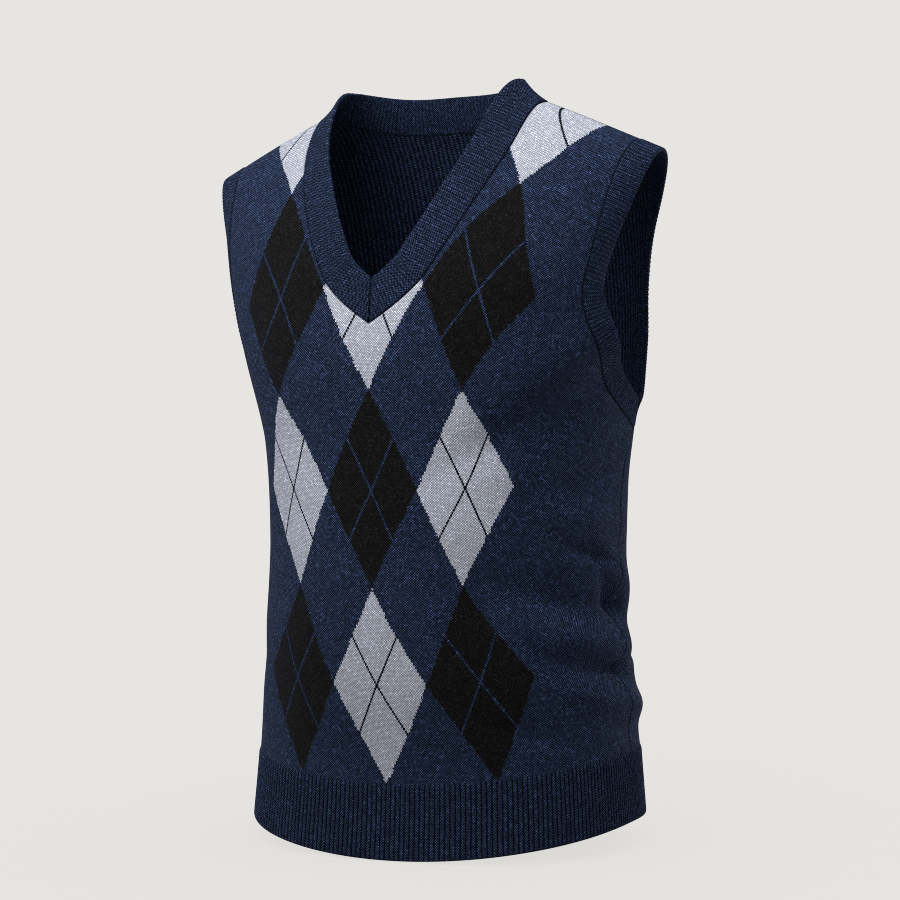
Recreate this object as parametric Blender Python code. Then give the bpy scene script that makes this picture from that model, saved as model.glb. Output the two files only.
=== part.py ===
"""Knitted sweater vest with a V neck, worn form: a hollow shell of knitted cloth.

Front and back panels, a mitred rib neckband, a rib band round each armhole and a
two-piece rib hem, each one closed wall.  Metres, +Z up, front towards -Y, the
wearer's left towards +X.  The origin lies midway between the two shoulder seams,
where the vest rests on the wearer's shoulders.
"""
from math import cos, radians, sin

import bmesh
import bpy
import numpy as np

# ---- Cloth ----
WALL = 0.0026                 # thickness of the knitted cloth
SEAM_GAP = 0.0003             # left open between neighbouring pieces
BAND_GAP = 0.0005             # the bands start this far from the seam, in the cloth
RIB_PITCH = 0.0039            # one rib and its valley
RIB_RISE = 0.0012             # a rib's crest over its valley

# ---- Heights and neckline ----
HEM_Z = -0.595                # hem at the side seams
HEM_DIP_FRONT = 0.022         # how far the hem hangs lower at the centre front
HEM_DIP_BACK = 0.006
UNDERARM_Z = -0.262           # foot of the armhole seam
SHOULDER_TOP = 0.0507         # height that the shoulder line would reach at x = 0
SHOULDER_FALL = 0.475         # slope of the shoulder line
SHOULDER_ROUND = 0.06         # width over which that line rounds off towards the neck
SHOULDER_X = 0.193            # shoulder seam's outer end, at the armband
NECK_X = 0.107                # shoulder seam's inner end, at the neckband
UNDERARM_ANGLE = 101.0        # degrees round at which the side seams meet the armholes
HEM_SEAM_ANGLE = 91.0         # and those at which the rib hem's own seams lie
NECKBAND_WIDTH = 0.032
MITRE_START = 0.0025          # the neckband's mitre starts this far along its seam
ARMBAND_WIDTH = 0.024

# ---- Levels: 0 at the hem, 1 at the foot of the armholes, 2 along the shoulders ----
RIB_LEVEL = 0.18              # top of the rib hem
NECK_LEVEL = 1.31             # point of the V
BACK_NECK_LEVEL = 1.855       # lowest point of the back neckline
TOP_LEVEL = 2.0               # the shoulder seams
CLOSE_FRONT = 1.9             # how late the front curves over to the shoulder seam
CLOSE_BACK = 2.6

# Horizontal sections: half width, reach to the front and to the back of the widest
# point, how far that point lies behind the shoulder seams, and the oval's squareness.
SECTION_COLUMNS = ("level", "half_width", "front", "back", "mid_y", "squareness")
SECTIONS = np.array((
    (0.00, 0.179, 0.120, 0.115, -0.020, 2.3),
    (0.18, 0.174, 0.118, 0.110, -0.014, 2.3),
    (0.45, 0.167, 0.141, 0.104, -0.003, 2.2),
    (0.75, 0.162, 0.153, 0.100, 0.008, 2.1),
    (1.00, 0.167, 0.155, 0.100, 0.017, 2.2),
    (1.30, 0.179, 0.152, 0.104, 0.012, 2.5),
    (1.60, 0.195, 0.134, 0.106, -0.002, 2.8),
    (2.00, 0.226, 0.102, 0.098, -0.001, 3.0),
))

# Front neckline: how much of NECK_X it has opened at each share of its climb.
NECKLINE_COLUMNS = ("climb", "opening")
NECKLINE = np.array(((0.0, 0.0), (0.07, 0.20), (0.16, 0.39), (0.30, 0.555),
                     (0.50, 0.735), (0.75, 0.915), (1.0, 1.0)))
BACK_NECK_BOW = 2.2           # squareness of the back neckline's curve

# Armholes: how far the seam scoops in front of and behind the side, in degrees,
# the share of its climb over which it does so, and how full the curve is (2 is round).
ARMHOLE_FRONT = {"scoop": 34.0, "climb": 0.50, "fullness": 1.6}
ARMHOLE_BACK = {"scoop": 32.0, "climb": 0.28, "fullness": 2.0}

# Side seams: how far round they lie on their way up from the rib hem, in degrees.
SEAM_COLUMNS = ("level", "angle")
SIDE_SEAM = np.array(((RIB_LEVEL, HEM_SEAM_ANGLE), (0.38, 88.0), (0.58, 87.0), (0.70, 90.5),
                      (0.86, 89.5), (0.94, 93.5), (1.0, UNDERARM_ANGLE)))

# Soft folds: place round the body and height, lean of the crease from the level,
# half length, half width, and how far it stands out (a trough is negative).
FOLD_COLUMNS = ("angle", "z", "lean", "half_length", "half_width", "rise")
FOLDS = np.array((
    (62.0, -0.190, 28.0, 0.085, 0.028, 0.0030),
    (59.0, -0.237, 28.0, 0.080, 0.026, -0.0045),
    (52.0, -0.393, -17.0, 0.075, 0.022, -0.0055),
    (60.0, -0.436, -15.0, 0.065, 0.015, 0.0040),
    (95.0, -0.364, -18.0, 0.035, 0.012, -0.0030),
    (90.0, -0.388, -20.0, 0.035, 0.014, 0.0035),
    (91.0, -0.416, -13.0, 0.040, 0.012, -0.0040),
    (92.0, -0.446, -10.0, 0.045, 0.014, 0.0045),
    (84.0, -0.466, -11.0, 0.055, 0.012, -0.0050),
    (94.0, -0.497, -12.0, 0.040, 0.015, 0.0060),
    (98.0, -0.527, -4.0, 0.040, 0.012, -0.0040),
    (46.0, -0.511, -22.0, 0.045, 0.014, -0.0030),
    (-78.0, -0.444, -14.0, 0.060, 0.022, -0.0030),
    (-104.0, -0.484, 10.0, 0.060, 0.018, 0.0040),
    (-120.0, -0.434, -24.0, 0.075, 0.020, -0.0040),
    (118.0, -0.429, 26.0, 0.080, 0.020, -0.0045),
    (150.0, -0.474, 10.0, 0.090, 0.022, 0.0040),
    (-155.0, -0.504, -8.0, 0.080, 0.018, -0.0035),
    (172.0, -0.399, 6.0, 0.110, 0.024, -0.0035),
    (128.0, -0.254, 40.0, 0.080, 0.024, -0.0035),
    (-130.0, -0.259, -42.0, 0.080, 0.024, -0.0035),
))
FOLD_RADIUS = 0.155           # metres round the body for each radian
FOLD_LEVEL = 0.12             # folds fade out over this many levels above the rib hem

# How steeply the neckband turns out of the cloth, in degrees, along its seam from the
# V (0) past the shoulder seam (1) to the centre back (2).
NECKBAND_COLUMNS = ("station", "turn")
NECKBAND_TURN = np.array(((0.0, 0.0), (0.45, 4.0), (0.8, 16.0), (1.0, 20.0),
                          (1.3, 18.0), (2.0, 15.0)))
# How far the armbands turn out of the cloth, from the underarm (0) to the shoulder (1).
ARMBAND_COLUMNS = ("climb", "turn")
ARMBAND_TURN = np.array(((0.0, 4.0), (0.3, 0.0), (0.6, -22.0), (0.85, -12.0),
                         (1.0, 0.0)))
# The turn grows across a band: its share next to the seam, and next to the free edge.
NECKBAND_CURL = (0.7, 1.3)
ARMBAND_CURL = (0.5, 1.5)

# ---- Mesh counts ----
HALF_COLUMNS = 12             # columns of each panel from its centre to a side
SIDE_ROWS = 18                # rows along a side seam
ARMHOLE_ROWS = 16             # rows along half an armhole seam
CENTRE_ROWS = 21              # rows from the rib hem up to the V
BACK_NECK_COLUMNS = 7         # of the back panel's columns, those that end at the neck
HEM_ROWS = 2
CURVE_STEPS = 800             # steps along which a seam's length is measured
SMALLEST = 1e-6               # keeps a share or a divisor clear of its limit

# ---- Colours and finish ----
NAVY = (0.030, 0.047, 0.094, 1.0)
NAVY_RIB = (0.022, 0.036, 0.074, 1.0)
PLAIN_ROUGHNESS = 0.92
RIB_ROUGHNESS = 0.95
SHARP_ANGLE = 40.0            # degrees; a flatter edge is shaded smooth


def smooth(value, stations, heights):
    """A smooth curve through the given heights."""
    slopes = np.gradient(heights, stations)
    value = np.clip(value, stations[0], stations[-1])
    last = len(stations) - 2
    i = np.clip(np.searchsorted(stations, value, side="right") - 1, 0, last)
    step = stations[i + 1] - stations[i]
    t = (value - stations[i]) / step
    rise = (3 - 2 * t) * t * t
    lead = t * (1 - t) ** 2 * slopes[i]
    tail = t * t * (t - 1) * slopes[i + 1]
    return heights[i] + (heights[i + 1] - heights[i]) * rise + step * (lead + tail)


def column(table, columns, name, value):
    """A named column of a table, read smoothly at a value of its first column."""
    return smooth(value, table[:, 0], table[:, columns.index(name)])


def section(level, name):
    """Half width, front, back, mid_y or squareness of the body at a level."""
    return column(SECTIONS, SECTION_COLUMNS, name, level)


def shoulder_height(x):
    rounded = np.sqrt(x * x + SHOULDER_ROUND ** 2) - SHOULDER_ROUND
    return SHOULDER_TOP - SHOULDER_FALL * rounded


def hem_height(angle):
    facing = np.cos(np.radians(angle))
    dip = np.where(facing > 0, HEM_DIP_FRONT, HEM_DIP_BACK)
    return HEM_Z - dip * facing ** 2


def fold_height(angle, level, z):
    """How far the folds move the cloth outwards."""
    total = np.zeros_like(z)
    for row in FOLDS:
        fold = dict(zip(FOLD_COLUMNS, row))
        around = (angle - fold["angle"] + 180.0) % 360.0 - 180.0
        sideways = np.radians(around) * FOLD_RADIUS
        upwards = z - fold["z"]
        slope = radians(fold["lean"])
        along = (sideways * cos(slope) + upwards * sin(slope)) / fold["half_length"]
        off = (upwards * cos(slope) - sideways * sin(slope)) / fold["half_width"]
        total += fold["rise"] * np.exp(-along ** 2 - off ** 2)
    fade = np.clip((level - RIB_LEVEL) / FOLD_LEVEL, 0.0, 1.0)
    return total * fade


def body(angle, level, folded=True):
    """Outer face of the cloth: degrees round from the centre front, and level."""
    angle, level = np.broadcast_arrays(np.asarray(angle, float), np.asarray(level, float))
    squareness = section(level, "squareness")
    side, facing = np.sin(np.radians(angle)), np.cos(np.radians(angle))
    radius = (np.abs(side) ** squareness + np.abs(facing) ** squareness) ** (-1 / squareness)
    climb = np.clip(level - 1.0, 0.0, 1.0)
    power = np.where(facing >= 0, CLOSE_FRONT, CLOSE_BACK)
    closing = np.sqrt(1.0 - climb ** power)
    reach = np.where(facing >= 0, section(level, "front"), section(level, "back"))
    x = section(level, "half_width") * radius * side
    y = section(level, "mid_y") * (1.0 - climb) - reach * closing * radius * facing
    hem = hem_height(angle)
    below = hem + (UNDERARM_Z - hem) * np.clip(level, 0.0, 1.0)
    above = UNDERARM_Z + (shoulder_height(x) - UNDERARM_Z) * climb
    z = np.where(level < 1.0, below, above)
    points = np.stack((x, y, z), axis=-1)
    if folded:
        outward = np.stack((side, -facing, np.zeros_like(side)), axis=-1)
        points = points + outward * fold_height(angle, level, z)[..., None]
    return points


def unit(vectors):
    return vectors / np.linalg.norm(vectors, axis=-1, keepdims=True)


def normal(angle, level):
    """Outward direction of the cloth; on a shoulder seam it stays in the seam's plane."""
    turn, climb, seam = 0.2, 0.004, 1.999
    angle, level = np.broadcast_arrays(np.asarray(angle, float), np.asarray(level, float))
    held = np.minimum(level, seam)
    around = body(angle + turn, held) - body(angle - turn, held)
    upwards = body(angle, np.minimum(held + climb, seam)) - body(angle, held - climb)
    open_cloth = unit(np.cross(around, upwards))
    x = body(angle, level)[..., 0]
    slope = SHOULDER_FALL * x / np.sqrt(x * x + SHOULDER_ROUND ** 2)
    on_seam = unit(np.stack((slope, np.zeros_like(x), np.ones_like(x)), axis=-1))
    return np.where((level > seam)[..., None], on_seam, open_cloth)


def angle_at(x, level):
    """Angle at which the section of that level has the given x, on the front."""
    squareness = section(level, "squareness")
    share = np.clip(x / section(level, "half_width"), 0.0, 1.0 - SMALLEST)
    facing = (1.0 - share ** squareness) ** (1.0 / squareness)
    return np.degrees(np.arctan2(share, facing))


def evenly(curve, count):
    """Count + 1 stations that part a curve of angle and level into equal lengths."""
    fine = np.linspace(0.0, 1.0, CURVE_STEPS + 1)
    points = body(*curve(fine), folded=False)
    steps = np.linalg.norm(np.diff(points, axis=0), axis=1)
    travelled = np.concatenate(((0.0,), np.cumsum(steps)))
    return np.interp(np.linspace(0.0, travelled[-1], count + 1), travelled, fine)


def neck_front(share):
    """Front neck seam from the V (0) to the shoulder seam (1), as angle and level."""
    level = NECK_LEVEL + (TOP_LEVEL - NECK_LEVEL) * share
    x = NECK_X * column(NECKLINE, NECKLINE_COLUMNS, "opening", share)
    return angle_at(x, level), level


def neck_back(share):
    """Back neck seam from the centre back (0) to the shoulder seam (1)."""
    level = TOP_LEVEL - (TOP_LEVEL - BACK_NECK_LEVEL) * (1.0 - share ** BACK_NECK_BOW)
    return 180.0 - angle_at(NECK_X * share, level), level


def armhole(share, form, behind):
    """Armhole seam from the side seam (0) to the shoulder seam (1)."""
    scoop, climb, fullness = form["scoop"], form["climb"], form["fullness"]
    top = 90.0 - angle_at(SHOULDER_X, TOP_LEVEL)
    into = np.clip(share / climb, 0.0, 1.0)
    after = np.clip((share - climb) / (1.0 - climb), 0.0, 1.0)
    blend = after * after * (3.0 - 2.0 * after)
    start = 90.0 - UNDERARM_ANGLE if not behind else UNDERARM_ANGLE - 90.0
    bow = (1.0 - (1.0 - into) ** fullness) ** (1.0 / fullness)
    curve = start + (scoop - start) * bow
    bend = curve + (top - scoop) * blend
    return (90.0 + bend if behind else 90.0 - bend), 1.0 + share


def armhole_front(share):
    return armhole(share, ARMHOLE_FRONT, False)


def armhole_back(share):
    return armhole(share, ARMHOLE_BACK, True)


def side_seam(share):
    level = RIB_LEVEL + (1.0 - RIB_LEVEL) * share
    return column(SIDE_SEAM, SEAM_COLUMNS, "angle", level), level


def joined(*curves):
    """Angles and levels of several curves with their counts, end to end."""
    angles, levels = [], []
    for curve, count in curves:
        angle, level = curve(evenly(curve, count))
        first = 1 if angles else 0
        angles.extend(angle[first:])
        levels.extend(level[first:])
    return np.array(angles), np.array(levels)


def centre_front(share):
    level = RIB_LEVEL + (NECK_LEVEL - RIB_LEVEL) * share
    return np.zeros_like(level), level


def centre_back(share):
    level = RIB_LEVEL + (BACK_NECK_LEVEL - RIB_LEVEL) * share
    return np.full_like(level, 180.0), level


def between(first, last, count):
    """Rows of angle and level that run straight from one edge to the other."""
    t = np.linspace(0.0, 1.0, count + 1)
    return [a + (b - a) * t for a, b in zip(first, last)]


def new_object(name, points, faces, colour, roughness):
    """A closed mesh with smooth faces and its own plain material."""
    mesh = bpy.data.meshes.new(name)
    mesh.from_pydata([tuple(p) for p in points], [], faces)
    shape = bmesh.new()
    shape.from_mesh(mesh)
    bmesh.ops.recalc_face_normals(shape, faces=shape.faces)
    shape.to_mesh(mesh)
    shape.free()
    mesh.shade_smooth()
    mesh.set_sharp_from_angle(angle=radians(SHARP_ANGLE))
    material = bpy.data.materials.new(name + "_knit")
    material.use_nodes = True
    shader = material.node_tree.nodes["Principled BSDF"]
    shader.inputs["Base Color"].default_value = colour
    shader.inputs["Roughness"].default_value = roughness
    shader.inputs["Metallic"].default_value = 0.0
    mesh.materials.append(material)
    item = bpy.data.objects.new(name, mesh)
    bpy.context.scene.collection.objects.link(item)
    return item


def wall_object(name, outer, inner, faces, colour):
    """A wall between two like faces, closed by a rim along every open edge."""
    count = len(outer)
    uses = {}
    for face in faces:
        for a, b in zip(face, face[1:] + face[:1]):
            uses.setdefault(frozenset((a, b)), []).append((a, b))
    rims = [(b, a, a + count, b + count)
            for (a, b), in (edges for edges in uses.values() if len(edges) == 1)]
    backs = [tuple(i + count for i in reversed(face)) for face in faces]
    points = np.concatenate((outer, inner))
    return new_object(name, points, list(faces) + backs + rims, colour, PLAIN_ROUGHNESS)


def panel(name, half_rows, slit_row, shift_y, colour):
    """A panel from the rows of its half on the wearer's left, centre to side.

    The half is mirrored; up to slit_row the two halves share their centre points.
    """
    keys, faces = {}, []
    angles, levels, sides = [], [], []

    def point(row, column, side):
        shared = column == 0 and row <= slit_row
        key = (row, column, 1 if shared else side)
        if key not in keys:
            keys[key] = len(angles)
            angles.append(half_rows[row][0][column])
            levels.append(half_rows[row][1][column])
            sides.append(key[2])
        return keys[key]

    for side in (1, -1):
        for row in range(len(half_rows) - 1):
            for column in range(HALF_COLUMNS):
                corners = (point(row, column, side), point(row, column + 1, side),
                           point(row + 1, column + 1, side), point(row + 1, column, side))
                faces.append(corners if side > 0 else corners[::-1])
    angles = np.array(angles) * np.array(sides)
    levels = np.array(levels)
    outer = body(angles, levels) + (0.0, shift_y, 0.0)
    inner = outer - normal(angles, levels) * WALL
    return wall_object(name, outer, inner, faces, colour)


def front_rows():
    centre = joined((centre_front, CENTRE_ROWS),
                    (neck_front, SIDE_ROWS + ARMHOLE_ROWS - CENTRE_ROWS))
    side = joined((side_seam, SIDE_ROWS), (armhole_front, ARMHOLE_ROWS))
    return [between(a, b, HALF_COLUMNS) for a, b in zip(zip(*centre), zip(*side))]


def back_rows():
    """Rows of the back's half: straight at the rib hem, along neck and shoulder on top."""
    count = SIDE_ROWS + ARMHOLE_ROWS
    centre = centre_back(evenly(centre_back, count))
    side = joined((side_seam, SIDE_ROWS), (armhole_back, ARMHOLE_ROWS))

    def shoulder(share):
        x = NECK_X + (SHOULDER_X - NECK_X) * share
        return 180.0 - angle_at(x, TOP_LEVEL), np.full_like(share, TOP_LEVEL)

    top = joined((neck_back, BACK_NECK_COLUMNS),
                 (shoulder, HALF_COLUMNS - BACK_NECK_COLUMNS))
    across = np.linspace(0.0, 1.0, HALF_COLUMNS + 1)
    rows = []
    for row in range(count + 1):
        climb = row / count
        lines = []
        for k in range(2):
            plain = centre[k][row] + (side[k][row] - centre[k][row]) * across
            level_top = centre[k][-1] + (side[k][-1] - centre[k][-1]) * across
            lines.append(plain + (top[k] - level_top) * climb ** 2)
        rows.append(lines)
    return rows


def strip_object(name, outer, inner, stops, ring, colour):
    """A ribbed strip: outer rows of fine columns over inner rows with a column per stop.

    outer[row, column] and inner[row, stop] are points; stops gives the outer column
    above each inner one.  A ring joins its last column to its first.
    """
    rows, fine = outer.shape[:2]
    coarse = inner.shape[1]
    base = rows * fine
    points = np.concatenate((outer.reshape(-1, 3), inner.reshape(-1, 3)))

    def out(row, column):
        return row * fine + column % fine

    def inn(row, stop):
        return base + row * coarse + stop % coarse

    faces = []
    for row in range(rows - 1):
        for column in range(fine if ring else fine - 1):
            faces.append((out(row, column), out(row, column + 1),
                          out(row + 1, column + 1), out(row + 1, column)))
        for stop in range(coarse if ring else coarse - 1):
            faces.append((inn(row, stop), inn(row + 1, stop),
                          inn(row + 1, stop + 1), inn(row, stop + 1)))
    spans = coarse if ring else coarse - 1
    ends = list(stops) + ([fine] if ring else [])
    for row in (0, rows - 1):
        for stop in range(spans):
            first, last = ends[stop], ends[stop + 1]
            middle = (first + last) // 2
            rim = [(inn(row, stop), out(row, c), out(row, c + 1)) for c in range(first, middle)]
            rim += [(inn(row, stop), out(row, middle), inn(row, stop + 1))]
            rim += [(inn(row, stop + 1), out(row, c), out(row, c + 1))
                    for c in range(middle, last)]
            faces.extend(rim if row else [face[::-1] for face in rim])
    if not ring:
        for column, stop in ((0, 0), (fine - 1, coarse - 1)):
            for row in range(rows - 1):
                quad = (out(row, column), out(row + 1, column),
                        inn(row + 1, stop), inn(row, stop))
                faces.append(quad if column else quad[::-1])
    return new_object(name, points, faces, colour, RIB_ROUGHNESS)


def fine_columns(lengths):
    """Two columns for each rib: how many lie in each stretch of a seam."""
    return [2 * max(1, round(length / RIB_PITCH)) for length in lengths]


def spread(values, counts, ring):
    """Values at the ends of a seam's stretches, read off at every fine column."""
    result = []
    for k, count in enumerate(counts):
        first, last = values[k], values[(k + 1) % len(values)]
        result.extend(first + (last - first) * j / count for j in range(count))
    if not ring:
        result.append(values[-1])
    return np.array(result)


def hem_piece(name, start, end, shift_y):
    """Half of the rib hem, between two angles round the body."""
    levels = np.linspace(0.0, RIB_LEVEL, HEM_ROWS + 1)
    middle = body(np.linspace(start, end, CURVE_STEPS + 1), RIB_LEVEL / 2)
    length = np.linalg.norm(np.diff(middle, axis=0), axis=1).sum()
    ribs = 2 * round(length / RIB_PITCH / 2)
    fine = np.linspace(start, end, 2 * ribs + 1)
    coarse = fine[::4]
    crest = RIB_RISE * (np.arange(len(fine)) % 2)
    lowered = np.array((0.0, 0.0, SEAM_GAP))
    outer, inner = [], []
    for level in levels:
        top = lowered if level == RIB_LEVEL else 0.0
        face = body(fine, level) + normal(fine, level) * crest[:, None]
        outer.append(face + (0.0, shift_y, 0.0) - top)
        back = body(coarse, level) - normal(coarse, level) * WALL
        inner.append(back + (0.0, shift_y, 0.0) - top)
    stops = range(0, len(fine), 4)
    return strip_object(name, np.array(outer), np.array(inner), stops, False, NAVY_RIB)


def turned(lateral, outward, degrees):
    """The direction across a band, turned out of the cloth."""
    slope = np.radians(degrees)[:, None]
    return lateral * np.cos(slope) + outward * np.sin(slope)


def across_seam(points, outward, ring):
    """Unit direction in the cloth at right angles to a seam."""
    if ring:
        before, after = np.roll(points, 1, axis=0), np.roll(points, -1, axis=0)
    else:
        before = np.concatenate((points[:1], points[:-1]))
        after = np.concatenate((points[1:], points[-1:]))
    return unit(np.cross(outward, after - before))


def mirrored(points):
    return points * (-1.0, 1.0, 1.0)


def armband(name, side):
    """Closed rib band round one armhole, sewn along the edges of both panels."""
    front_share = evenly(armhole_front, ARMHOLE_ROWS)
    back_share = evenly(armhole_back, ARMHOLE_ROWS)[-2:0:-1]
    front, back = armhole_front(front_share), armhole_back(back_share)
    angle = np.concatenate((front[0], back[0]))
    level = np.concatenate((front[1], back[1]))
    seam = body(angle * side, level)
    outward = normal(angle * side, level)
    lateral = across_seam(seam, outward, True) * -side
    counts = fine_columns(np.linalg.norm(np.roll(seam, -1, axis=0) - seam, axis=1))
    turn = column(ARMBAND_TURN, ARMBAND_COLUMNS, "turn", level - 1.0)
    first = seam + lateral * BAND_GAP
    near, far = (turned(lateral, outward, turn * share) for share in ARMBAND_CURL)
    middle = first + near * ARMBAND_WIDTH / 2
    edge = middle + far * ARMBAND_WIDTH / 2
    return band_object(name, [first, middle, edge], outward, counts, True)


def band_object(name, rows, outward, counts, ring):
    """A ribbed band from its rows of outer points, seam first."""
    facing = [outward]
    for row in range(1, len(rows)):
        along = np.roll(rows[row], -1, axis=0) - np.roll(rows[row], 1, axis=0)
        if not ring:
            along[0] = rows[row][1] - rows[row][0]
            along[-1] = rows[row][-1] - rows[row][-2]
        outwards = unit(np.cross(along, rows[row] - rows[row - 1]))
        agrees = np.sign(np.sum(outwards * outward, axis=1, keepdims=True))
        facing.append(outwards * agrees)
    for row, face in zip(rows, facing):
        face[np.abs(row[:, 0]) < SEAM_GAP, 0] = 0.0
    stops = np.concatenate(((0,), np.cumsum(counts)))
    stops = stops[:-1] if ring else stops
    fine = spread(rows[0], counts, ring)
    crest = (RIB_RISE * (np.arange(len(fine)) % 2))[:, None]
    outer = [spread(row, counts, ring) + spread(face, counts, ring) * crest
             for row, face in zip(rows, facing)]
    inner = [row - face * WALL for row, face in zip(rows, facing)]
    return strip_object(name, np.array(outer), np.array(inner), stops, ring, NAVY_RIB)


def neckband():
    """Rib band round the neck, open at the mitre in the point of the V."""
    front_count = SIDE_ROWS + ARMHOLE_ROWS - CENTRE_ROWS
    front = neck_front(evenly(neck_front, front_count))
    back = neck_back(evenly(neck_back, BACK_NECK_COLUMNS))
    angle = np.concatenate((front[0], back[0][-2::-1]))
    level = np.concatenate((front[1], back[1][-2::-1]))
    station = np.concatenate((np.linspace(0.0, 1.0, front_count + 1),
                              np.linspace(1.0, 2.0, BACK_NECK_COLUMNS + 1)[1:]))
    seam, outward = body(angle, level), normal(angle, level)
    lateral = across_seam(seam, outward, False)
    lateral[-1] = unit(lateral[-1] * (0.0, 1.0, 1.0))
    turn = column(NECKBAND_TURN, NECKBAND_COLUMNS, "turn", station)
    near, far = (turned(lateral, outward, turn * share) for share in NECKBAND_CURL)
    start = MITRE_START / np.linalg.norm(seam[1] - seam[0])
    seam, outward, lateral, near, far = (
        np.concatenate((values[:1] + (values[1:2] - values[:1]) * start, values[1:]))
        for values in (seam, outward, lateral, near, far))
    first = seam + lateral * BAND_GAP
    counts = fine_columns(np.linalg.norm(np.diff(first, axis=0), axis=1))
    inwards = np.maximum(-near[:, 0], SMALLEST)
    room = (first[:, 0] - SEAM_GAP / 2) / inwards
    width = np.minimum(NECKBAND_WIDTH, np.where(station < 1.0, room, NECKBAND_WIDTH))
    middle = first + near * width[:, None] / 2
    edge = middle + far * width[:, None] / 2
    edge[width < NECKBAND_WIDTH, 0] = SEAM_GAP / 2
    rows = [first, middle, edge]
    whole = [np.concatenate((mirrored(row)[:-1], row[::-1])) for row in rows]
    both = np.concatenate((mirrored(outward)[:-1], outward[::-1]))
    return band_object("neckband", whole, both, counts + counts[::-1], False)


def clear_scene():
    for item in list(bpy.data.objects):
        bpy.data.objects.remove(item, do_unlink=True)


def main():
    clear_scene()
    half_gap = SEAM_GAP / 2
    panel("front_panel", front_rows(), CENTRE_ROWS, -half_gap, NAVY)
    panel("back_panel", back_rows(), len(back_rows()), half_gap, NAVY)
    hem_piece("front_hem_rib", -HEM_SEAM_ANGLE, HEM_SEAM_ANGLE, -half_gap)
    hem_piece("back_hem_rib", HEM_SEAM_ANGLE, 360.0 - HEM_SEAM_ANGLE, half_gap)
    armband("armband_left", 1)
    armband("armband_right", -1)
    neckband()


main()
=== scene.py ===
"""Knitted argyle sweater vest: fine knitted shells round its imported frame.

The cloth of every node as a thin closed shell on the same form, with rolled seams, rounded
ribs and linking stitches, a knit finish worked out stitch by stitch, a pale studio and the
camera.  Metres, +Z up, front towards -Y, the wearer's left towards +X.
"""
from math import cos, pi, radians, sin

import bpy
import numpy as np
from bpy.props import FloatProperty, FloatVectorProperty, PointerProperty
from bpy.types import Operator, Panel, PropertyGroup
from mathutils import Matrix, Vector
from mathutils.kdtree import KDTree


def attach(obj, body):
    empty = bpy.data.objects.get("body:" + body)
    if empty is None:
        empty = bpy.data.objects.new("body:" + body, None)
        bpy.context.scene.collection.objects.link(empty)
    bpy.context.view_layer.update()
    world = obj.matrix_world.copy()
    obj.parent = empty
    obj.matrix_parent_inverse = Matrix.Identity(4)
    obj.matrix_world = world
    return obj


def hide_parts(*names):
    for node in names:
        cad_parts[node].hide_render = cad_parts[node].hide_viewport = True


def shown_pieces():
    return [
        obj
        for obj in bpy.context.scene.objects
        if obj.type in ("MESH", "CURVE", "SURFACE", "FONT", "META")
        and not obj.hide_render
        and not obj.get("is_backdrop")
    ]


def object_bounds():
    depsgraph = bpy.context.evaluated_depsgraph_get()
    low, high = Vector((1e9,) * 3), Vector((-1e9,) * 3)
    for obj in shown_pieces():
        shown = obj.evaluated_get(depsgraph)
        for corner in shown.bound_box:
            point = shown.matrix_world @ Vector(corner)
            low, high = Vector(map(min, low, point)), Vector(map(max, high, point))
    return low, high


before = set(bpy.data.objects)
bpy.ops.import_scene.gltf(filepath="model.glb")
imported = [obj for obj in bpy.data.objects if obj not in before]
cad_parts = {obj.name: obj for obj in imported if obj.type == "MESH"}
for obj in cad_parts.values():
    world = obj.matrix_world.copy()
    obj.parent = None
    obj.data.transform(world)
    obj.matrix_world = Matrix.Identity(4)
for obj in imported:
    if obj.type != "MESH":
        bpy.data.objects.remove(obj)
CAD_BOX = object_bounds()

bl_info = {
    "name": "Argyle Sweater Vest",
    "version": (1, 0, 0),
    "blender": (4, 5, 0),
    "location": "View3D > Sidebar > Sweater Vest",
    "description": "Builds the knitted shells, seams and studio of an argyle sweater vest",
    "category": "Add Mesh",
}

# ---- Cloth ----
WALL = 0.0026        # thickness of the knitted cloth
SEAM_LAP = 0.0001    # front and back pieces reach this far past their seams
BAND_LAP = 0.0001    # and the bands this far, so no light comes through
MITRE_GAP = 0.00004  # between the two ends of the neckband
JOIN_GAP = 0.00003   # between the rib hem and the cloth it is knitted on to
RIB_PITCH = 0.0039   # one rib and its valley
RIB_RISE = 0.0012    # a rib's crest over its valley
BAND_RISE = 0.0006   # the same on the stretched ribs of neckband and armbands

# ---- Heights and neckline ----
HEM_Z = -0.595          # hem at the side seams
HEM_DIP_FRONT = 0.022   # how far the hem hangs lower at the centre front
HEM_DIP_BACK = 0.006
UNDERARM_Z = -0.262     # foot of the armhole seam
SHOULDER_TOP = 0.0507   # height that the shoulder line would reach at x = 0
SHOULDER_FALL = 0.475   # slope of the shoulder line
SHOULDER_ROUND = 0.06   # width over which that line rounds off towards the neck
SHOULDER_X = 0.193      # shoulder seam's outer end, at the armband
NECK_X = 0.107          # shoulder seam's inner end, at the neckband
UNDERARM_ANGLE = 101.0  # degrees round at which the side seams meet the armholes
HEM_SEAM_ANGLE = 91.0   # and those at which the rib hem's own seams lie
NECKBAND_WIDTH = 0.032
MITRE_START = 0.0025    # the neckband's mitre starts this far along its seam
ARMBAND_WIDTH = 0.024

# ---- Levels: 0 at the hem, 1 at the foot of the armholes, 2 along the shoulders ----
RIB_LEVEL = 0.18         # top of the rib hem
NECK_LEVEL = 1.31        # point of the V
BACK_NECK_LEVEL = 1.855  # lowest point of the back neckline
TOP_LEVEL = 2.0          # the shoulder seams
CLOSE_FRONT = 1.9        # how late the front curves over to the shoulder seam
CLOSE_BACK = 2.6

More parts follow.
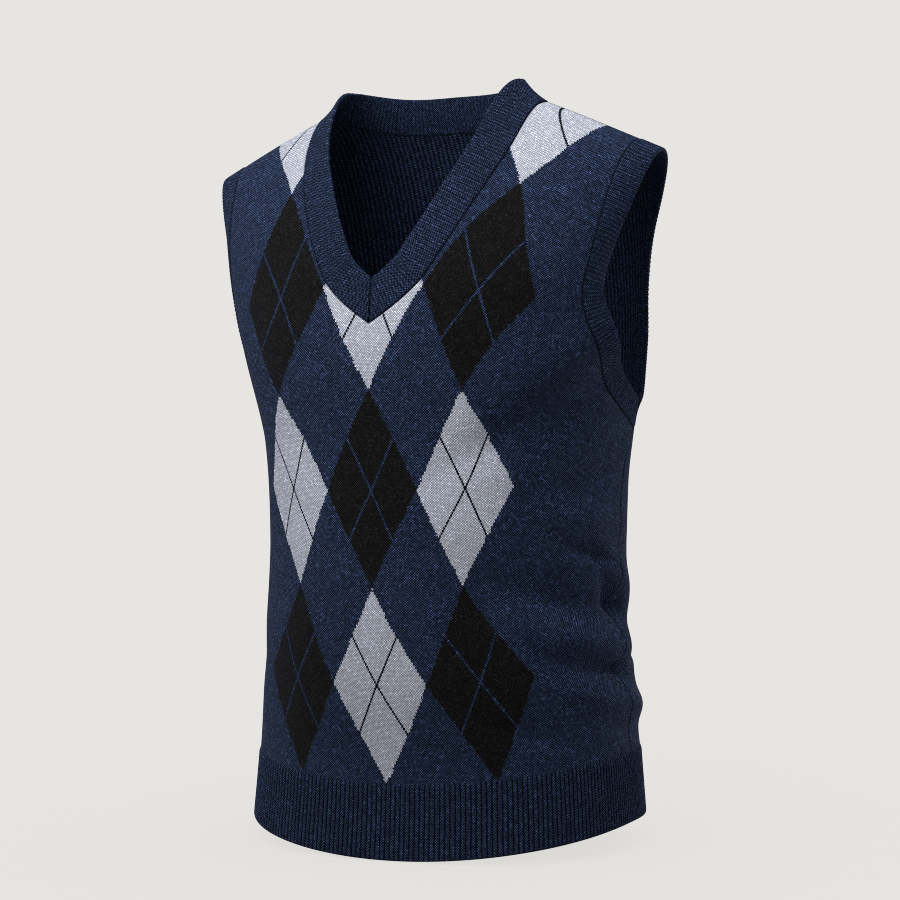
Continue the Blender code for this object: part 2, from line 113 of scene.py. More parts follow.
# Horizontal sections: half width, reach to the front and to the back of the widest
# point, how far that point lies behind the shoulder seams, and the oval's squareness.
SECTION_COLUMNS = ("level", "half_width", "front", "back", "mid_y", "squareness")
SECTIONS = np.array((
    (0.00, 0.179, 0.120, 0.115, -0.020, 2.3),
    (0.18, 0.174, 0.118, 0.110, -0.014, 2.3),
    (0.45, 0.167, 0.141, 0.104, -0.003, 2.2),
    (0.75, 0.162, 0.153, 0.100, 0.008, 2.1),
    (1.00, 0.167, 0.155, 0.100, 0.017, 2.2),
    (1.30, 0.179, 0.152, 0.104, 0.012, 2.5),
    (1.60, 0.195, 0.134, 0.106, -0.002, 2.8),
    (2.00, 0.226, 0.102, 0.098, -0.001, 3.0),
))

# Front neckline: how much of NECK_X it has opened at each share of its climb.
NECKLINE = np.array(((0.0, 0.0), (0.07, 0.20), (0.16, 0.39), (0.30, 0.555),
                     (0.50, 0.735), (0.75, 0.915), (1.0, 1.0)))
BACK_NECK_BOW = 2.2  # squareness of the back neckline's curve

# Armholes: how far the seam scoops in front of and behind the side, in degrees,
# the share of its climb over which it does so, and how full the curve is (2 is round).
ARMHOLE_FRONT = {"scoop": 34.0, "climb": 0.50, "fullness": 1.6}
ARMHOLE_BACK = {"scoop": 32.0, "climb": 0.28, "fullness": 2.0}

# Side seams: how far round they lie on their way up from the rib hem, in degrees.
SIDE_SEAM = np.array(((RIB_LEVEL, HEM_SEAM_ANGLE), (0.38, 88.0), (0.58, 87.0), (0.70, 90.5),
                      (0.86, 89.5), (0.94, 93.5), (1.0, UNDERARM_ANGLE)))

# Folds: place round the body and height, lean of the crease from the level, half length,
# half width, and how far it stands out (a trough is negative).
FOLD_COLUMNS = ("angle", "z", "lean", "half_length", "half_width", "rise")
FOLDS = np.array((
    (62, -0.190, 28, 0.085, 0.028, 0.0030), (59, -0.237, 28, 0.080, 0.026, -0.0045),
    (52, -0.393, -17, 0.075, 0.022, -0.0055), (60, -0.436, -15, 0.065, 0.015, 0.0040),
    (95, -0.364, -18, 0.035, 0.012, -0.0030), (90, -0.388, -20, 0.035, 0.014, 0.0035),
    (91, -0.416, -13, 0.040, 0.012, -0.0040), (92, -0.446, -10, 0.045, 0.014, 0.0045),
    (84, -0.466, -11, 0.055, 0.012, -0.0050), (94, -0.497, -12, 0.040, 0.015, 0.0060),
    (98, -0.527, -4, 0.040, 0.012, -0.0040), (46, -0.511, -22, 0.045, 0.014, -0.0030),
    (-78, -0.444, -14, 0.060, 0.022, -0.0030), (-104, -0.484, 10, 0.060, 0.018, 0.0040),
    (-120, -0.434, -24, 0.075, 0.020, -0.0040), (118, -0.429, 26, 0.080, 0.020, -0.0045),
    (150, -0.474, 10, 0.090, 0.022, 0.0040), (-155, -0.504, -8, 0.080, 0.018, -0.0035),
    (172, -0.399, 6, 0.110, 0.024, -0.0035), (128, -0.254, 40, 0.080, 0.024, -0.0035),
    (-130, -0.259, -42, 0.080, 0.024, -0.0035),
    # The finer creases, which only these shells have
    (64, -0.196, 28, 0.085, 0.030, 0.0068), (60, -0.404, -17, 0.055, 0.013, -0.0048),
    (68, -0.434, -15, 0.046, 0.011, 0.0036), (66, -0.482, -13, 0.040, 0.011, 0.0050),
    (44, -0.514, -22, 0.034, 0.008, -0.0050), (73, -0.365, -17, 0.032, 0.006, -0.0080),
    (47, -0.441, -20, 0.030, 0.009, -0.0026), (77, -0.461, -9, 0.046, 0.006, -0.0105),
    (88, -0.412, -13, 0.022, 0.010, -0.0090), (81, -0.398, -60, 0.024, 0.008, -0.0050),
    (33, -0.407, -32, 0.034, 0.012, -0.0050), (66, -0.304, 12, 0.055, 0.014, -0.0040),
    (38, -0.262, 34, 0.050, 0.016, -0.0050), (68, -0.334, -8, 0.045, 0.012, 0.0035),
    (-84, -0.378, 18, 0.034, 0.007, -0.0060), (-101, -0.408, 12, 0.052, 0.014, -0.0060),
    (-97, -0.440, 10, 0.050, 0.011, 0.0050), (-92, -0.468, 11, 0.046, 0.006, -0.0080),
    (-113, -0.507, -8, 0.040, 0.010, -0.0045), (-128, -0.345, -32, 0.055, 0.011, -0.0048),
    (-140, -0.472, -14, 0.052, 0.009, -0.0052), (-150, -0.230, -38, 0.065, 0.016, -0.0040),
    (-166, -0.438, 6, 0.080, 0.012, -0.0045), (176, -0.412, -4, 0.070, 0.012, 0.0038),
    (162, -0.502, -7, 0.062, 0.009, -0.0048), (146, -0.392, 20, 0.055, 0.010, -0.0052),
    (136, -0.300, 36, 0.060, 0.014, -0.0045), (124, -0.447, 14, 0.046, 0.007, -0.0064),
    (113, -0.500, 10, 0.040, 0.010, 0.0035),
))
FOLD_RADIUS = 0.155  # metres round the body for each radian
FOLD_LEVEL = 0.12    # folds fade out over this many levels above the rib hem

# How steeply the neckband turns out of the cloth, in degrees, along its seam from the
# V (0) past the shoulder seam (1) to the centre back (2).
NECKBAND_TURN = np.array(((0.0, 0.0), (0.45, 4.0), (0.8, 16.0), (1.0, 20.0),
                          (1.3, 18.0), (2.0, 15.0)))
# How far the armbands turn out of the cloth, from the underarm (0) to the shoulder (1).
ARMBAND_TURN = np.array(((0.0, 4.0), (0.3, 0.0), (0.6, -22.0), (0.85, -12.0),
                         (1.0, 0.0)))
# The turn grows across a band: its share at the seam, and what it gains by the edge.
NECKBAND_CURL = (0.4, 1.2)
ARMBAND_CURL = (0.0, 2.0)

# ---- Argyle: by level, how far to the right and to the left of the centre front the side
# columns' centre lines lie round the body, and the count of diamonds up from the rib hem.
DIAMOND_COLUMNS = np.array((
    (0.18, 0.090, 0.099), (0.42, 0.087, 0.091), (0.65, 0.080, 0.080),
    (0.88, 0.089, 0.082), (1.135, 0.102, 0.082), (1.42, 0.095, 0.096),
    (1.58, 0.100, 0.105), (1.75, 0.106, 0.119), (2.00, 0.112, 0.122),
))
DIAMOND_ROWS = np.array((
    (0.18, 0.0), (0.42, 0.5), (0.65, 1.0), (0.88, 1.5), (1.135, 2.0), (1.42, 2.5),
    (1.75, 3.0), (2.00, 3.43),
))
COLUMN_REACH = 1.5  # the pattern ends half a diamond past its side columns

# ---- Mesh counts ----
PANEL_ROWS = 210          # rows of a panel from the rib hem to the shoulder
HALF_COLUMNS = 74         # columns of a panel from its centre to a side
SIDE_SHARE = 18 / 34      # share of those rows below the armhole
NECK_SHARE = 21 / 34      # share of those rows below the V
BACK_NECK_SHARE = 7 / 12  # share of the back's columns that end at the neck
RIB_COLUMNS = 8           # mesh columns for each rib and its valley
HEM_ROWS = 26
BAND_ROWS = 9
CURVE_STEPS = 801         # points of a curve whose length is measured
ARC_STEPS = 33
SEAM_ROLL = np.array((0.0004, 0.0008, 0.0014, 0.0024))  # extra rows this close to a seam
EDGE_ROLL = np.array((0.0, 0.0003, 0.0007, 0.0012))  # rows over a rounded edge
PANEL_LENGTH = 0.55       # about how long a panel's side and its rows are
PANEL_REACH = 0.17
SHARP_ANGLE = 70.0        # degrees at which two faces meet in a sharp edge
STITCH_LINE = 30.0        # courses are counted up the cloth at this angle
SEAM_STEP = 0.0004        # distances from a seam are measured to points this close,
FAR_FROM_SEAM = 0.02      # and kept up to here
RIB_SQUARENESS = 2.6      # of a rib's crest
EDGE_ROUNDNESS = 0.96     # how fully a free edge rounds off; 1 closes it
EDGE_CREST = 0.4          # share of a rib's crest that is left at a free edge,
HEM_FADE = 0.004          # and how far from it the hem's
BAND_FADE = 0.003         # and the bands' ribs have all of it
LINK_RINGS = 5            # rings of points and sides of a linking stitch
LINK_SIDES = 6
LINK_REACH = 0.6          # its half span: of the seam's width across the seam,
LINK_SLANT = 0.3          # and of the stitches' pitch along it
LINK_BOW = 0.55           # how far it arches, as a share of the seam's depth
BOTH_SIDES = (-1, 1)      # the wearer's right and left

# ---- Knitting and yarn ----
UNEVENNESS = 0.45           # how far stitches are pushed about, in stitches,
UNEVEN_SCALE = 0.22         # and how finely, per stitch
PATCH_SCALE = 0.11          # patches of stitches that lean one way, per stitch
PANEL_PATCHES = 3.5         # how strongly they lean, in the panels and in the ribs
RIB_PATCHES = 1.0
GAP_SHADE_POWER = 2.4             # how narrow the lit crest of a leg is: painted shade darkens the rest towards the gaps
BEADING = 0.75              # how far the strokes that cross a leg break it into beads
DASH_LENGTH = 1.5           # legs in a dash of one lightness, and how far the dashes
DASH_OFFSET = 7.3           # of the next stroke are shifted
DULL_LEG = 0.55             # lightness of the dullest leg of a stitch,
LEG_SPREAD = 1.1            # what the others have over it,
FLECK = 1.8                 # and what the few brightest ones have besides
FLECK_RARITY = 12.0
LIGHT_GAP = 0.46            # lightness left by the painted shade in the gaps of the light yarn
PURL_WAVE = 2.6             # bow of a purl bump, in courses,
PURL_HEIGHT = (0.4, 1.2)    # and its height at the middle, with what its ends gain
CHEVRON = 0.1               # how far legs of plain stitches rise and fall by turns
PAINTED_RIB_SHADING = (1.4, 1.5)      # how wide and how sharp the painted light on a rib's crest is, against the painted shade in its valleys
MATT = (0.97, 0.12)         # roughness in the gaps, and what the crests lose
PLY = (0.6, 0.8, 0.8, 0.15)  # linking yarn: lightness and roughness, each with its range
PLY_RELIEF = 0.4            # and its relief, of its radius
FIBRE = (3.1, 0.65, 0.70)   # scale, least lightness and its range, of fibres
DRIFT = (0.02, 0.80, 0.40)  # and of broad drifts of the dye
FUZZ_SCALE = 5.3            # small bumps of loose fibres,
FUZZ = 0.25                 # and their share of a stitch's relief
TEETH = 2.8                 # steps of the argyle's edges for each stitch across
COURSES = 0.75              # and for each course up
PAINTED_SEAM_SHADE = 0.25           # painted shade: lightness left at the bottom of a seam's groove
LINE_SHARE = 0.021          # half width of a crossing line, as a share of a diamond
SHEEN = 0.02
SHEEN_ROUGHNESS = 0.5
SHEEN_TINT = (0.45, 0.60, 1.0, 1.0)
SPECULAR = 0.07             # wool hardly shines

# The knitted finishes, by what each has over the face of plain stocking stitch: valley is the
# lightness that the painted shade leaves between its ribs.
KNITS = {
    "argyle_face": {"patterned": True},
    "argyle_reverse": {"purl": True, "patterned": True},
    "plain_face": {},
    "plain_reverse": {"purl": True},
    "hem_rib": {"chevron": 0.3, "valley": 0.03},
    "band_rib": {"chevron": 0.3, "valley": 0.35},
}

# ---- Studio ----
FLOOR_GAP = 0.0005       # below the lowest point of the hem
FLOOR_REACH = 60.0
FLOOR_GLOW = 0.88        # share of the floor's light that no shadow takes away
FLOOR_GRAIN = 60.0
FLOOR_MOTTLE = 0.99      # lightness of its paint where the grain is darkest
FLOOR_MATT = (0.9, 0.05)  # its roughness, and what the grain adds
FLOOR_RELIEF = 0.00002
SOFTBOX_SIZE = 0.7
SOFTBOX_DISTANCE = 1.15  # from the camera's target
# Softboxes: degrees to the camera's right and above it.
SOFTBOXES = (("key", -60.0, 60.0), ("fill", -30.0, 35.0), ("top", 60.0, 60.0),
             ("left", -120.0, -25.0), ("right", 120.0, -25.0), ("back", 180.0, 20.0))
PIXEL_FILTER = 1.0  # narrow, and no denoising, so that the fine stitches stay crisp
CAMERA_TARGET = (0.0, -0.015, -0.304)
CAMERA_SHIFT = (0.012, 0.0338)
LENS = 100.0
SENSOR = 36.0


# ---- Settings ----

def metres(name, description, default, low=0.001, high=0.01):
    """A length that may be set from low to high."""
    return FloatProperty(name=name, description=description, default=default, min=low,
                         max=high, subtype="DISTANCE", unit="LENGTH", precision=5)


def rgb(name, description, default):
    """A colour."""
    return FloatVectorProperty(name=name, description=description, default=default,
                               min=0.0, max=1.0, size=3, subtype="COLOR")


def watts(name, place, default):
    """The power of the softbox at that place."""
    return FloatProperty(name=name, description="Power of the soft light " + place,
                         default=default, min=0.0, max=1000.0, unit="POWER")


def degrees(name, description, default):
    """An angle, given in degrees."""
    return FloatProperty(name=name, description=description, default=radians(default),
                         subtype="ANGLE", unit="ROTATION")


class ClothSettings(PropertyGroup):
    """Sizes of the knitting and of the seams."""

    stitch_width: metres("Stitch Width", "Width of one stitch of the plain knitting", 0.0046)
    stitch_height: metres("Stitch Height", "Height of one course of plain knitting", 0.0021)
    stitch_relief: metres("Stitch Relief", "How far a stitch stands over its gaps", 0.0005,
                          0.0, 0.003)
    rib_course: metres("Rib Course", "Height of one course along a rib", 0.0021)
    seam_depth: metres("Seam Depth", "How far the cloth rolls in at a seam", 0.0012,
                       0.0, 0.002)
    seam_width: metres("Seam Width", "How far from a seam the cloth starts to roll in",
                       0.0014, 0.0005)
    link_pitch: metres("Linking Pitch", "Distance from one linking stitch to the next",
                       0.0026, 0.001, 0.02)
    link_radius: metres("Linking Yarn", "Radius of the yarn that links the seams", 0.00042,
                        0.0001, 0.002)


class YarnSettings(PropertyGroup):
    """Colours of the yarns."""

    navy: rgb("Navy Heather", "Ground colour of the panels and ribs", (0.049, 0.081, 0.186))
    black: rgb("Black", "Dark diamonds", (0.0190, 0.0180, 0.0178))
    grey: rgb("Light Grey", "Light diamonds", (0.74, 0.78, 0.90))
    line_blue: rgb("Blue Line", "Crossing lines on the dark diamonds", (0.055, 0.095, 0.250))
    line_dark: rgb("Dark Line", "Crossing lines on the light diamonds", (0.008, 0.010, 0.022))
    linking: rgb("Linking Yarn", "Yarn that links the seams", (0.006, 0.008, 0.016))


class StudioSettings(PropertyGroup):
    """Camera, floor and light."""

    backdrop: rgb("Backdrop", "Colour of the floor and of what stands behind",
                  (0.799, 0.783, 0.753))
    ambient: FloatProperty(
        name="Ambient Light", description="Strength of the even light from all round",
        default=0.27, min=0.0, max=10.0)
    key_power: watts("Key Softbox", "from the upper left", 4.4)
    fill_power: watts("Fill Softbox", "beside the camera", 6.8)
    top_power: watts("Top Softbox", "high at the right", 3.6)
    left_power: watts("Left Softbox", "low at the left", 5.5)
    right_power: watts("Right Softbox", "low at the right", 15.0)
    back_power: watts("Back Softbox", "from behind", 8.0)
    camera_azimuth: degrees("Camera Azimuth", "How far it stands to the wearer's left", 27.0)
    camera_elevation: degrees("Camera Elevation", "Height of the camera as an angle", 3.1)
    camera_roll: degrees("Camera Roll", "Lean of the camera about its line of sight", 1.9)
    camera_distance: metres("Camera Distance", "How far the camera is from its target", 2.2,
                            0.5, 20.0)


# ---- Form ----

def smooth(value, stations, heights):
    """A smooth curve through the given heights."""
    slopes = np.gradient(heights, stations)
    value = np.clip(value, stations[0], stations[-1])
    last = len(stations) - 2
    i = np.clip(np.searchsorted(stations, value, side="right") - 1, 0, last)
    step = stations[i + 1] - stations[i]
    t = (value - stations[i]) / step
    rise = (3 - 2 * t) * t * t
    lead = t * (1 - t) ** 2 * slopes[i]
    tail = t * t * (t - 1) * slopes[i + 1]
    return heights[i] + (heights[i + 1] - heights[i]) * rise + step * (lead + tail)


def read(table, value, column=1):
    """A column of a table, read smoothly at a value of its first column."""
    return smooth(value, table[:, 0], table[:, column])


def section(level, name):
    """Half width, front, back, mid_y or squareness of the body at a level."""
    return read(SECTIONS, level, SECTION_COLUMNS.index(name))


def shoulder_height(x):
    """Height of the shoulder line, which rounds off towards the neck."""
    rounded = np.sqrt(x * x + SHOULDER_ROUND ** 2) - SHOULDER_ROUND
    return SHOULDER_TOP - SHOULDER_FALL * rounded


def hem_height(angle):
    """Height of the hem's edge, which hangs lower at the centres."""
    facing = np.cos(np.radians(angle))
    dip = np.where(facing > 0, HEM_DIP_FRONT, HEM_DIP_BACK)
    return HEM_Z - dip * facing ** 2


def fold_height(angle, level, z):
    """How far the folds move the cloth outwards."""
    total = np.zeros_like(z)
    for row in FOLDS:
        fold = dict(zip(FOLD_COLUMNS, row))
        around = (angle - fold["angle"] + 180.0) % 360.0 - 180.0
        sideways = np.radians(around) * FOLD_RADIUS
        upwards = z - fold["z"]
        slope = radians(fold["lean"])
        along = (sideways * cos(slope) + upwards * sin(slope)) / fold["half_length"]
        off = (upwards * cos(slope) - sideways * sin(slope)) / fold["half_width"]
        total += fold["rise"] * np.exp(-along ** 2 - off ** 2)
    fade = np.clip((level - RIB_LEVEL) / FOLD_LEVEL, 0.0, 1.0)
    return total * fade


def matched(angle, level):
    """Angles and levels as grids of one shape."""
    return np.broadcast_arrays(np.asarray(angle, float), np.asarray(level, float))


def body(angle, level, folded=True):
    """Outer face of the cloth: degrees round from the centre front, and level."""
    angle, level = matched(angle, level)
    squareness = section(level, "squareness")
    side, facing = np.sin(np.radians(angle)), np.cos(np.radians(angle))
    radius = (np.abs(side) ** squareness + np.abs(facing) ** squareness) ** (-1 / squareness)
    climb = np.clip(level - 1.0, 0.0, 1.0)
    power = np.where(facing >= 0, CLOSE_FRONT, CLOSE_BACK)
    closing = np.sqrt(1.0 - climb ** power)
    reach = np.where(facing >= 0, section(level, "front"), section(level, "back"))
    x = section(level, "half_width") * radius * side
    y = section(level, "mid_y") * (1.0 - climb) - reach * closing * radius * facing
    hem = hem_height(angle)
    below = hem + (UNDERARM_Z - hem) * np.clip(level, 0.0, 1.0)
    above = UNDERARM_Z + (shoulder_height(x) - UNDERARM_Z) * climb
    z = np.where(level < 1.0, below, above)
    points = np.stack((x, y, z), axis=-1)
    if folded:
        outward = np.stack((side, -facing, np.zeros_like(side)), axis=-1)
        points = points + outward * fold_height(angle, level, z)[..., None]
    return points


def unit(vectors):
    """The directions of vectors."""
    return vectors / np.linalg.norm(vectors, axis=-1, keepdims=True)


def normal(angle, level):
    """Outward direction of the cloth; on a shoulder seam it stays in the seam's plane."""
    turn, climb, seam = 0.2, 0.004, 1.999  # degrees, levels, and the level of a seam
    angle, level = matched(angle, level)
    held = np.minimum(level, seam)
    around = body(angle + turn, held) - body(angle - turn, held)
    upwards = body(angle, np.minimum(held + climb, seam)) - body(angle, held - climb)
    open_cloth = unit(np.cross(around, upwards))
    x = body(angle, level)[..., 0]
    slope = SHOULDER_FALL * x / np.sqrt(x * x + SHOULDER_ROUND ** 2)
    on_seam = unit(np.stack((slope, np.zeros_like(x), np.ones_like(x)), axis=-1))
    return np.where((level > seam)[..., None], on_seam, open_cloth)


def angle_at(x, level):
    """Angle at which the section of that level has the given x, on the front."""
    squareness = section(level, "squareness")
    share = np.clip(x / section(level, "half_width"), 0.0, 0.99999)
    facing = (1.0 - share ** squareness) ** (1.0 / squareness)
    return np.degrees(np.arctan2(share, facing))


def travelled(points):
    """Distance along a line of points, from its first."""
    steps = np.linalg.norm(np.diff(points, axis=0), axis=1)
    return np.concatenate(((0.0,), np.cumsum(steps)))


def measured(curve):
    """Fine shares of a curve, and the length of it up to each."""
    fine = np.linspace(0.0, 1.0, CURVE_STEPS)
    return fine, travelled(body(*curve(fine), folded=False))


def along(curve, fractions):
    """Shares of a curve of angle and level that lie at fractions of its length."""
    fine, lengths = measured(curve)
    return np.interp(np.asarray(fractions) * lengths[-1], lengths, fine)


def length_of(curve):
    """Whole length of a curve."""
    return measured(curve)[1][-1]


def neck_front(share):
    """Front neck seam from the V (0) to the shoulder seam (1), as angle and level."""
    level = NECK_LEVEL + (TOP_LEVEL - NECK_LEVEL) * share
    x = NECK_X * read(NECKLINE, share)
    return angle_at(x, level), level


def neck_back(share):
    """Back neck seam from the centre back (0) to the shoulder seam (1)."""
    level = TOP_LEVEL - (TOP_LEVEL - BACK_NECK_LEVEL) * (1.0 - share ** BACK_NECK_BOW)
    return 180.0 - angle_at(NECK_X * share, level), level


def armhole(share, form, behind):
    """Armhole seam of a form, in front of the side seam or behind it."""
    scoop, climb, fullness = form["scoop"], form["climb"], form["fullness"]
    top = 90.0 - angle_at(SHOULDER_X, TOP_LEVEL)
    into = np.clip(share / climb, 0.0, 1.0)
    after = np.clip((share - climb) / (1.0 - climb), 0.0, 1.0)
    blend = after * after * (3.0 - 2.0 * after)
    start = UNDERARM_ANGLE - 90.0 if behind else 90.0 - UNDERARM_ANGLE
    bow = (1.0 - (1.0 - into) ** fullness) ** (1.0 / fullness)
    curve = start + (scoop - start) * bow
    bend = curve + (top - scoop) * blend
    return (90.0 + bend if behind else 90.0 - bend), 1.0 + share


def armhole_front(share):
    """Front armhole seam from the side seam (0) to the shoulder seam (1)."""
    return armhole(share, ARMHOLE_FRONT, False)


def armhole_back(share):
    """Back armhole seam from the side seam (0) to the shoulder seam (1)."""
    return armhole(share, ARMHOLE_BACK, True)


def side_seam(share):
    """Side seam from the rib hem (0) to the armhole (1)."""
    level = RIB_LEVEL + (1.0 - RIB_LEVEL) * share
    return read(SIDE_SEAM, level), level


def upright(angle, low, high):
    """A line up the cloth at one angle, from one level to another."""
    def curve(share):
        level = low + (high - low) * share
        return np.full_like(level, angle), level
    return curve


# The rib hem's own seam, and the centre lines of the panels
hem_side = upright(HEM_SEAM_ANGLE, 0.0, RIB_LEVEL)
centre_front = upright(0.0, RIB_LEVEL, NECK_LEVEL)
centre_back = upright(180.0, RIB_LEVEL, BACK_NECK_LEVEL)


def shoulder_front(share):
    """Shoulder seam from the neck (0) to the armhole (1), as the front's edge."""
    x = NECK_X + (SHOULDER_X - NECK_X) * share
    return angle_at(x, TOP_LEVEL), np.full_like(share, TOP_LEVEL)


def shoulder_back(share):
    """The same seam as the back's edge."""
    angle, level = shoulder_front(share)
    return 180.0 - angle, level


def chained(fractions, split, first, second):
    """Angle and level along two curves end to end, the first one up to the split."""
    low = first(along(first, np.clip(fractions / split, 0.0, 1.0)))
    high = second(along(second, np.clip((fractions - split) / (1.0 - split), 0.0, 1.0)))
    return [np.where(fractions <= split, a, b) for a, b in zip(low, high)]


def rib_steps(curve, skipped=0.0):
    """Fractions of a seam's length, one for each mesh column of its ribs."""
    whole = length_of(curve)
    ribs = round((whole - skipped) / RIB_PITCH)
    return np.linspace(skipped / whole, 1.0, ribs * RIB_COLUMNS + 1)


def end_to_end(*parts):
    """Angles and levels along curves, each at its own fractions of its length."""
    lines = [curve(along(curve, steps)) for curve, steps in parts]
    return [np.concatenate(pair) for pair in zip(*lines)]


def graded(count, near_start, near_end):
    """Even fractions from 0 to 1, with extra ones close to the ends."""
    even = np.linspace(0.0, 1.0, count + 1)
    return np.unique(np.concatenate((even, near_start, 1.0 - np.array(near_end))))


def arc_length(angle, level, start):
    """Distance round the body from a start angle at the same level, with its sign."""
    angle, level = matched(angle, level)
    steps = np.linspace(0.0, 1.0, ARC_STEPS)
    angles = start + (angle[..., None] - start) * steps
    points = body(angles, level[..., None], folded=False)
    lengths = np.linalg.norm(np.diff(points, axis=-2), axis=-1).sum(axis=-1)
    return lengths * np.sign(angle - start)


def height_up(level, angle):
    """Distance up the cloth from the top of the rib hem, along one line of stitches."""
    ladder = np.linspace(0.0, TOP_LEVEL, CURVE_STEPS)
    lengths = travelled(body(np.full_like(ladder, angle), ladder, folded=False))
    return np.interp(level, ladder, lengths) - np.interp(RIB_LEVEL, ladder, lengths)


def both_sides(*curves):
    """Each of some seams on both sides of the wearer, as curve and side."""
    return [(curve, side) for curve in curves for side in BOTH_SIDES]


# ---- Meshes ----

def placed(mesh):
    """A new object of a mesh, under the mesh's name and in the scene."""
    item = bpy.data.objects.new(mesh.name, mesh)
    bpy.context.scene.collection.objects.link(item)
    return item


def corners_of(rows, columns, ring, slit_row):
    """Row and column of each quad's corners, and the vertex at each grid point."""
    vertex = np.arange(rows * columns).reshape(rows, columns)
    firsts = np.arange(columns if ring else columns - 1)
    if slit_row is not None:
        middle = columns // 2
        vertex[:slit_row + 1, middle] = vertex[:slit_row + 1, middle - 1]
        firsts = firsts[firsts != middle - 1]
    row, first = np.meshgrid(np.arange(rows - 1), firsts, indexing="ij")
    row, first = row.ravel(), first.ravel()
    corner_rows = np.stack((row, row, row + 1, row + 1), axis=1)
    corner_columns = np.stack((first, first + 1, first + 1, first), axis=1)
    return corner_rows, corner_columns, vertex


def open_edges(quads):
    """Positions, among all sides of all quads, of those that no other quad shares."""
    sides = np.stack((quads, np.roll(quads, -1, axis=1)), axis=2).reshape(-1, 2)
    key = sides.min(axis=1) * (quads.max() + 1) + sides.max(axis=1)
    _, first, count = np.unique(key, return_index=True, return_counts=True)
    return first[count == 1]


def knit_shell(name, outer, inner, place, marks=None, ring=False, slit_row=None):
    """A closed thin cloth from like grids of outer and inner points.

    place is the count of stitches across and up at each grid point; a ring has one more
    column of it.  The inner face takes the second material.
    """
    rows, columns = outer.shape[:2]
    corner_rows, corner_columns, vertex = corners_of(rows, columns, ring, slit_row)
    quads = vertex[corner_rows, corner_columns % columns]
    places = place[corner_rows, corner_columns]
    count = rows * columns
    side = open_edges(quads)
    quad, corner = side // 4, side % 4
    after = (corner + 1) % 4
    a, b = quads[quad, corner], quads[quad, after]
    rims = np.stack((b, a, a + count, b + count), axis=1)
    place_a, place_b = places[quad, corner], places[quad, after]
    rim_places = np.stack((place_b, place_a, place_a, place_b), axis=1)
    faces = np.concatenate((quads, quads[:, ::-1] + count, rims))
    places = np.concatenate((places, places[:, ::-1], rim_places))
    points = np.concatenate((outer.reshape(-1, 3), inner.reshape(-1, 3)))
    used, faces = np.unique(faces, return_inverse=True)
    faces = faces.reshape(-1, 4)
    mesh = bpy.data.meshes.new(name)
    mesh.from_pydata(points[used].tolist(), [], faces.tolist())
    layer = mesh.uv_layers.new(name="stitches")
    layer.data.foreach_set("uv", places.reshape(-1).astype(np.float32))
    for mark, values in (marks or {}).items():
        both = np.concatenate((values.reshape(count, -1),) * 2)[used]
        kind, key = ("FLOAT", "value") if both.shape[1] == 1 else ("FLOAT_VECTOR", "vector")
        attribute = mesh.attributes.new(mark, kind, "POINT")
        attribute.data.foreach_set(key, both.ravel().astype(np.float32))
    faces_of = np.zeros(len(faces), dtype=np.int32)
    faces_of[len(quads):2 * len(quads)] = 1
    mesh.polygons.foreach_set("material_index", faces_of)
    mesh.shade_smooth()
    mesh.set_sharp_from_angle(angle=radians(SHARP_ANGLE))
    return placed(mesh)


def dress(piece, node, finishes):
    """Gives a piece its finishes and its place on the frame."""
    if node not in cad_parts:
        raise RuntimeError(f"the frame has no node {node} for {piece.name}")
    for finish in finishes:
        piece.data.materials.append(shared_finish(finish))
    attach(piece, "root")
    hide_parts(node)


def distance_to(points, lines):
    """Distance of every point of a grid to the nearest of several lines of points."""
    near = np.concatenate(lines)
    tree = KDTree(len(near))
    for index, point in enumerate(near):
        tree.insert(point, index)
    tree.balance()
    flat = points.reshape(-1, 3)
    found = np.array([tree.find(point)[2] for point in flat])
    return found.reshape(points.shape[:-1])


def seam_line(curve, side):
    """A dense line of points along a seam, on the wearer's left (1) or right (-1)."""
    share = along(curve, np.linspace(0.0, 1.0, int(length_of(curve) / SEAM_STEP)))
    angle, level = curve(share)
    return body(angle * side, level)


def rolled(distance, cloth):
    """How far the cloth rolls in at a distance from a seam."""
    near = np.clip(1.0 - distance / cloth.seam_width, 0.0, 1.0)
    return cloth.seam_depth * near ** 2


def panel_shell(name, angles, levels, start, lap, curves, cloth, marks=None, slit_row=None):
    """A panel between seams; its stitches are counted from the start angle."""
    surface, outward = body(angles, levels), normal(angles, levels)
    distance = distance_to(surface, [seam_line(*seam) for seam in both_sides(*curves)])
    surface[..., 1] += lap
    outer = surface - outward * rolled(distance, cloth)[..., None]
    inner = surface - outward * WALL
    across = arc_length(angles, levels, start) / cloth.stitch_width
    courses = height_up(levels, abs(start - STITCH_LINE)) / cloth.stitch_height
    marks = {**(marks or {}), "seam_distance": np.minimum(distance, FAR_FROM_SEAM)}
    place = np.stack((across, courses), axis=-1)
    return knit_shell(name, outer, inner, place, marks, slit_row=slit_row)


def halves(half, sign=1):
    """Both halves of a grid side by side: the mirrored one, then the given one."""
    return np.concatenate((sign * half[:, ::-1], half), axis=1)


def front_grid():
    """Angles and levels of the front panel, right side to left, and its slit's row."""
    fractions = graded(PANEL_ROWS, (), SEAM_ROLL / PANEL_LENGTH)
    centre = chained(fractions, NECK_SHARE, centre_front, neck_front)
    side = chained(fractions, SIDE_SHARE, side_seam, armhole_front)
    across = graded(HALF_COLUMNS, SEAM_ROLL / PANEL_REACH, SEAM_ROLL / PANEL_REACH)
    angles, levels = (a[:, None] + (b - a)[:, None] * across for a, b in zip(centre, side))
    slit_row = int(np.argmin(np.abs(fractions - NECK_SHARE)))
    return halves(angles, -1), halves(levels), slit_row


